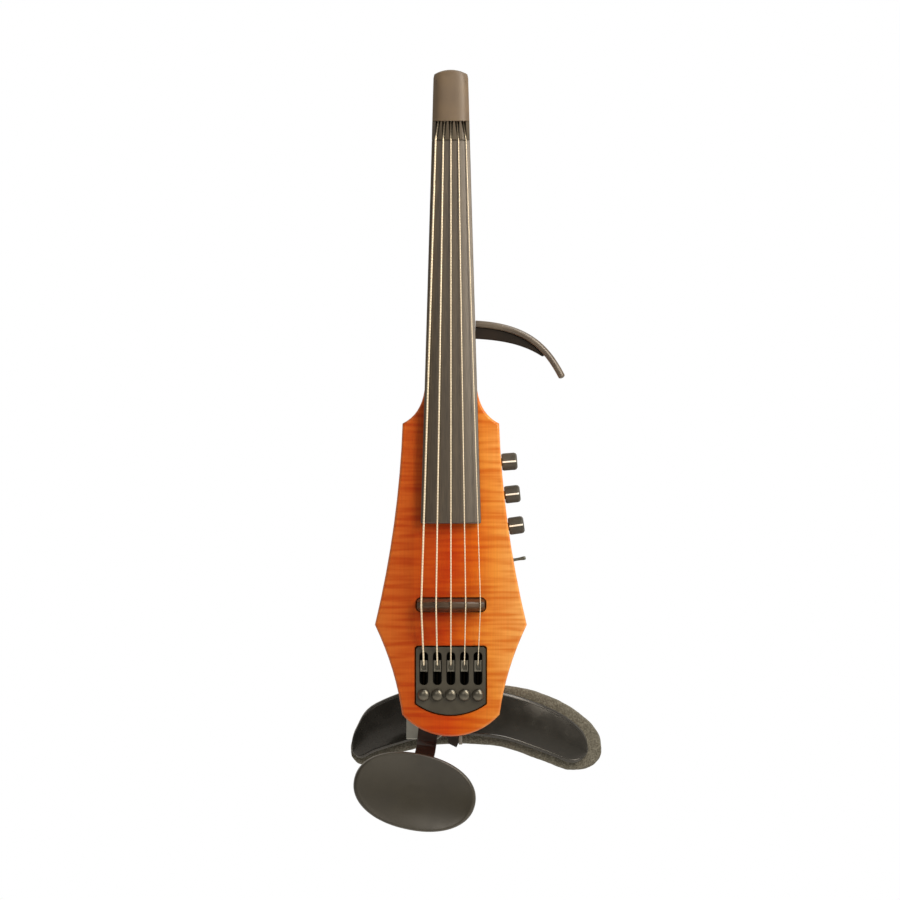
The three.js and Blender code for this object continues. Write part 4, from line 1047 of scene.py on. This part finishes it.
plate_aluminium = cast_metal("brushed_aluminium_plate", "c9cbc4", "b4b6ae", 0.34, 0.8)
mounting_plate = copy_of("rest_plate", "rest_mounting_plate")
plate_notch = Vector((-8 * mm, 0, body_end + 2.5 * mm))
plate_shape = bmesh.new()
plate_shape.from_mesh(mounting_plate.data)
for point in plate_shape.verts:
    if point.co.x > plate_notch.x and point.co.z < plate_notch.z:
        point.co.z = plate_notch.z
bmesh.ops.dissolve_degenerate(plate_shape, dist=merge_distance, edges=plate_shape.edges)
plate_shape.to_mesh(mounting_plate.data)
plate_shape.free()
finish(mounting_plate, plate_aluminium, "shoulder_rest", "aluminium",
       "rest_plate")
hub_plastic = moulded("satin_black_hub_plastic", "26231e", "35312a", 0.45, 0.5)
dressed("rest_hub", "rest_swivel_hub", hub_plastic, "rest_hub", "satin_black", edge=0.25 * mm)
dressed("rest_clip", "rest_spring_clip", plate_aluminium, "rest_hub", "nickel", edge=0.2 * mm)
dressed("rest_bracket", "rest_hinge_bracket", hub_plastic, "violin", "satin_black", edge=0.25 * mm)

# --- Chin rest ----------------------------------------------------------------------------------
# A flat steel strap, painted black, slides under a thumb screw on the violin's back and bends
# forward below it. On its end turns the chin rest, an oval plastic dish with a thin raised rim.

strap_paint = moulded("black_painted_steel_strap", "241e1a", "322a24", 0.38, 0.9, 0.03, shine=0.6)
dressed("chin_strap", "painted_chin_strap", strap_paint, "chin_strap", "painted_steel",
        edge=0.35 * mm)

clamp_joint = joints["chin_clamp_turn"]
clamp_place = axis_frame(clamp_joint["pos_m"], (0, 1, 0), (1, 0, 0))
clamp_seat = 3.4 * mm
clamp_radius = 6.7 * mm
clamp = turned("thumb_screw", [
    (0, -9 * mm), (1.6 * mm, -9 * mm), (2 * mm, -8.4 * mm), (2 * mm, clamp_seat),
    (clamp_radius - 0.4 * mm, clamp_seat), (clamp_radius, clamp_seat + 0.4 * mm),
    (clamp_radius, clamp_seat + 4.6 * mm), (clamp_radius - 0.8 * mm, clamp_seat + 5.7 * mm),
    (clamp_radius - 2 * mm, clamp_seat + 6 * mm), (3 * mm, clamp_seat + 5.4 * mm),
    (0, clamp_seat + 5.2 * mm)], clamp_place, 56)
finish(clamp, hub_plastic, "chin_clamp", "satin_black", "chin_clamp_screw")
clamp_grip = ribbed("thumb_screw_ribs", clamp_place, clamp_radius, 4.2 * mm, clamp_seat + 2.5 * mm, 40,
                    hub_plastic)
finish(clamp_grip, hub_plastic, "chin_clamp", "satin_black")

chin_low, chin_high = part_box("chin_plate")
chin_centre = Vector(((chin_low[0] + chin_high[0]) / 2, chin_low[1], (chin_low[2] + chin_high[2]) / 2))
chin_long = 43.9 * mm
chin_short = 27.3 * mm
chin_tilt = math.radians(12)
chin_dish = 3.6 * mm
chin_thickness = 8 * mm
chin_fullness = 2.15
chin_sides = 128
boss_share = 0.17


def chin_ring(reach, depth):
    """A ring round the oval dish, at a share of its reach and a depth behind its rim."""
    ring = []
    for side in range(chin_sides):
        angle = math.tau * side / chin_sides
        u, v = math.cos(angle), math.sin(angle)
        full = (abs(u) ** chin_fullness + abs(v) ** chin_fullness) ** (-1 / chin_fullness)
        x, z = chin_long * reach * full * u, chin_short * reach * full * v
        ring.append(chin_centre + Vector((x * math.cos(chin_tilt) + z * math.sin(chin_tilt), depth,
                                          z * math.cos(chin_tilt) - x * math.sin(chin_tilt))))
    return ring


chin_profile = [(boss_share, chin_dish - 0.15 * mm), (boss_share + 0.012, chin_dish)]
for step in range(1, 12):
    share = boss_share + 0.02 + (0.915 - boss_share - 0.02) * step / 11
    chin_profile.append((share, (chin_dish - 0.2 * mm) * (1 - (share / 0.93) ** 2.2) + 0.2 * mm))
chin_profile += [(0.935, 0.03 * mm), (0.95, 0), (0.965, 0.15 * mm), (0.98, 0.6 * mm), (0.992, 1.3 * mm),
                 (1.0, 2.2 * mm), (0.995, 3.0 * mm), (0.97, 3.6 * mm), (0.90, 5.0 * mm),
                 (0.75, 6.4 * mm), (0.5, 7.4 * mm), (0.2, chin_thickness)]
chin_plastic, tree, shader, place = new_surface("satin_black_chin_rest_plastic")
wear = add_node(tree, "ShaderNodeTexNoise", {
    "Vector": place, "Scale": per(40), "Detail": 3.0, "Roughness": 0.5})
wear_tone = add_node(tree, "ShaderNodeValToRGB", {0: wear})
set_stops(wear_tone, (0.38, linear("2c2921")), (0.58, linear("37342b")))
wear_rough = add_node(tree, "ShaderNodeMapRange", {
    "Value": wear, "From Min": 0.35, "From Max": 0.65, "To Min": 0.40, "To Max": 0.28})
leather_grain = add_node(tree, "ShaderNodeTexNoise", {"Vector": place, "Scale": per(0.7), "Detail": 2.0})
chin_bump = add_node(tree, "ShaderNodeBump", {
    "Strength": 0.25, "Distance": 0.03 * mm, "Height": leather_grain})
fill(tree, shader, {
    "Base Color": wear_tone, "Roughness": wear_rough,
    "Normal": chin_bump, "IOR": 1.5, "Specular IOR Level": 0.7})
finish(lofted("oval_chin_dish", [chin_ring(*ring) for ring in chin_profile]), chin_plastic, "chin_rest",
       "chin_black", "chin_plate")
repaint(hub_plastic, "chin_pivot")

low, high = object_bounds()
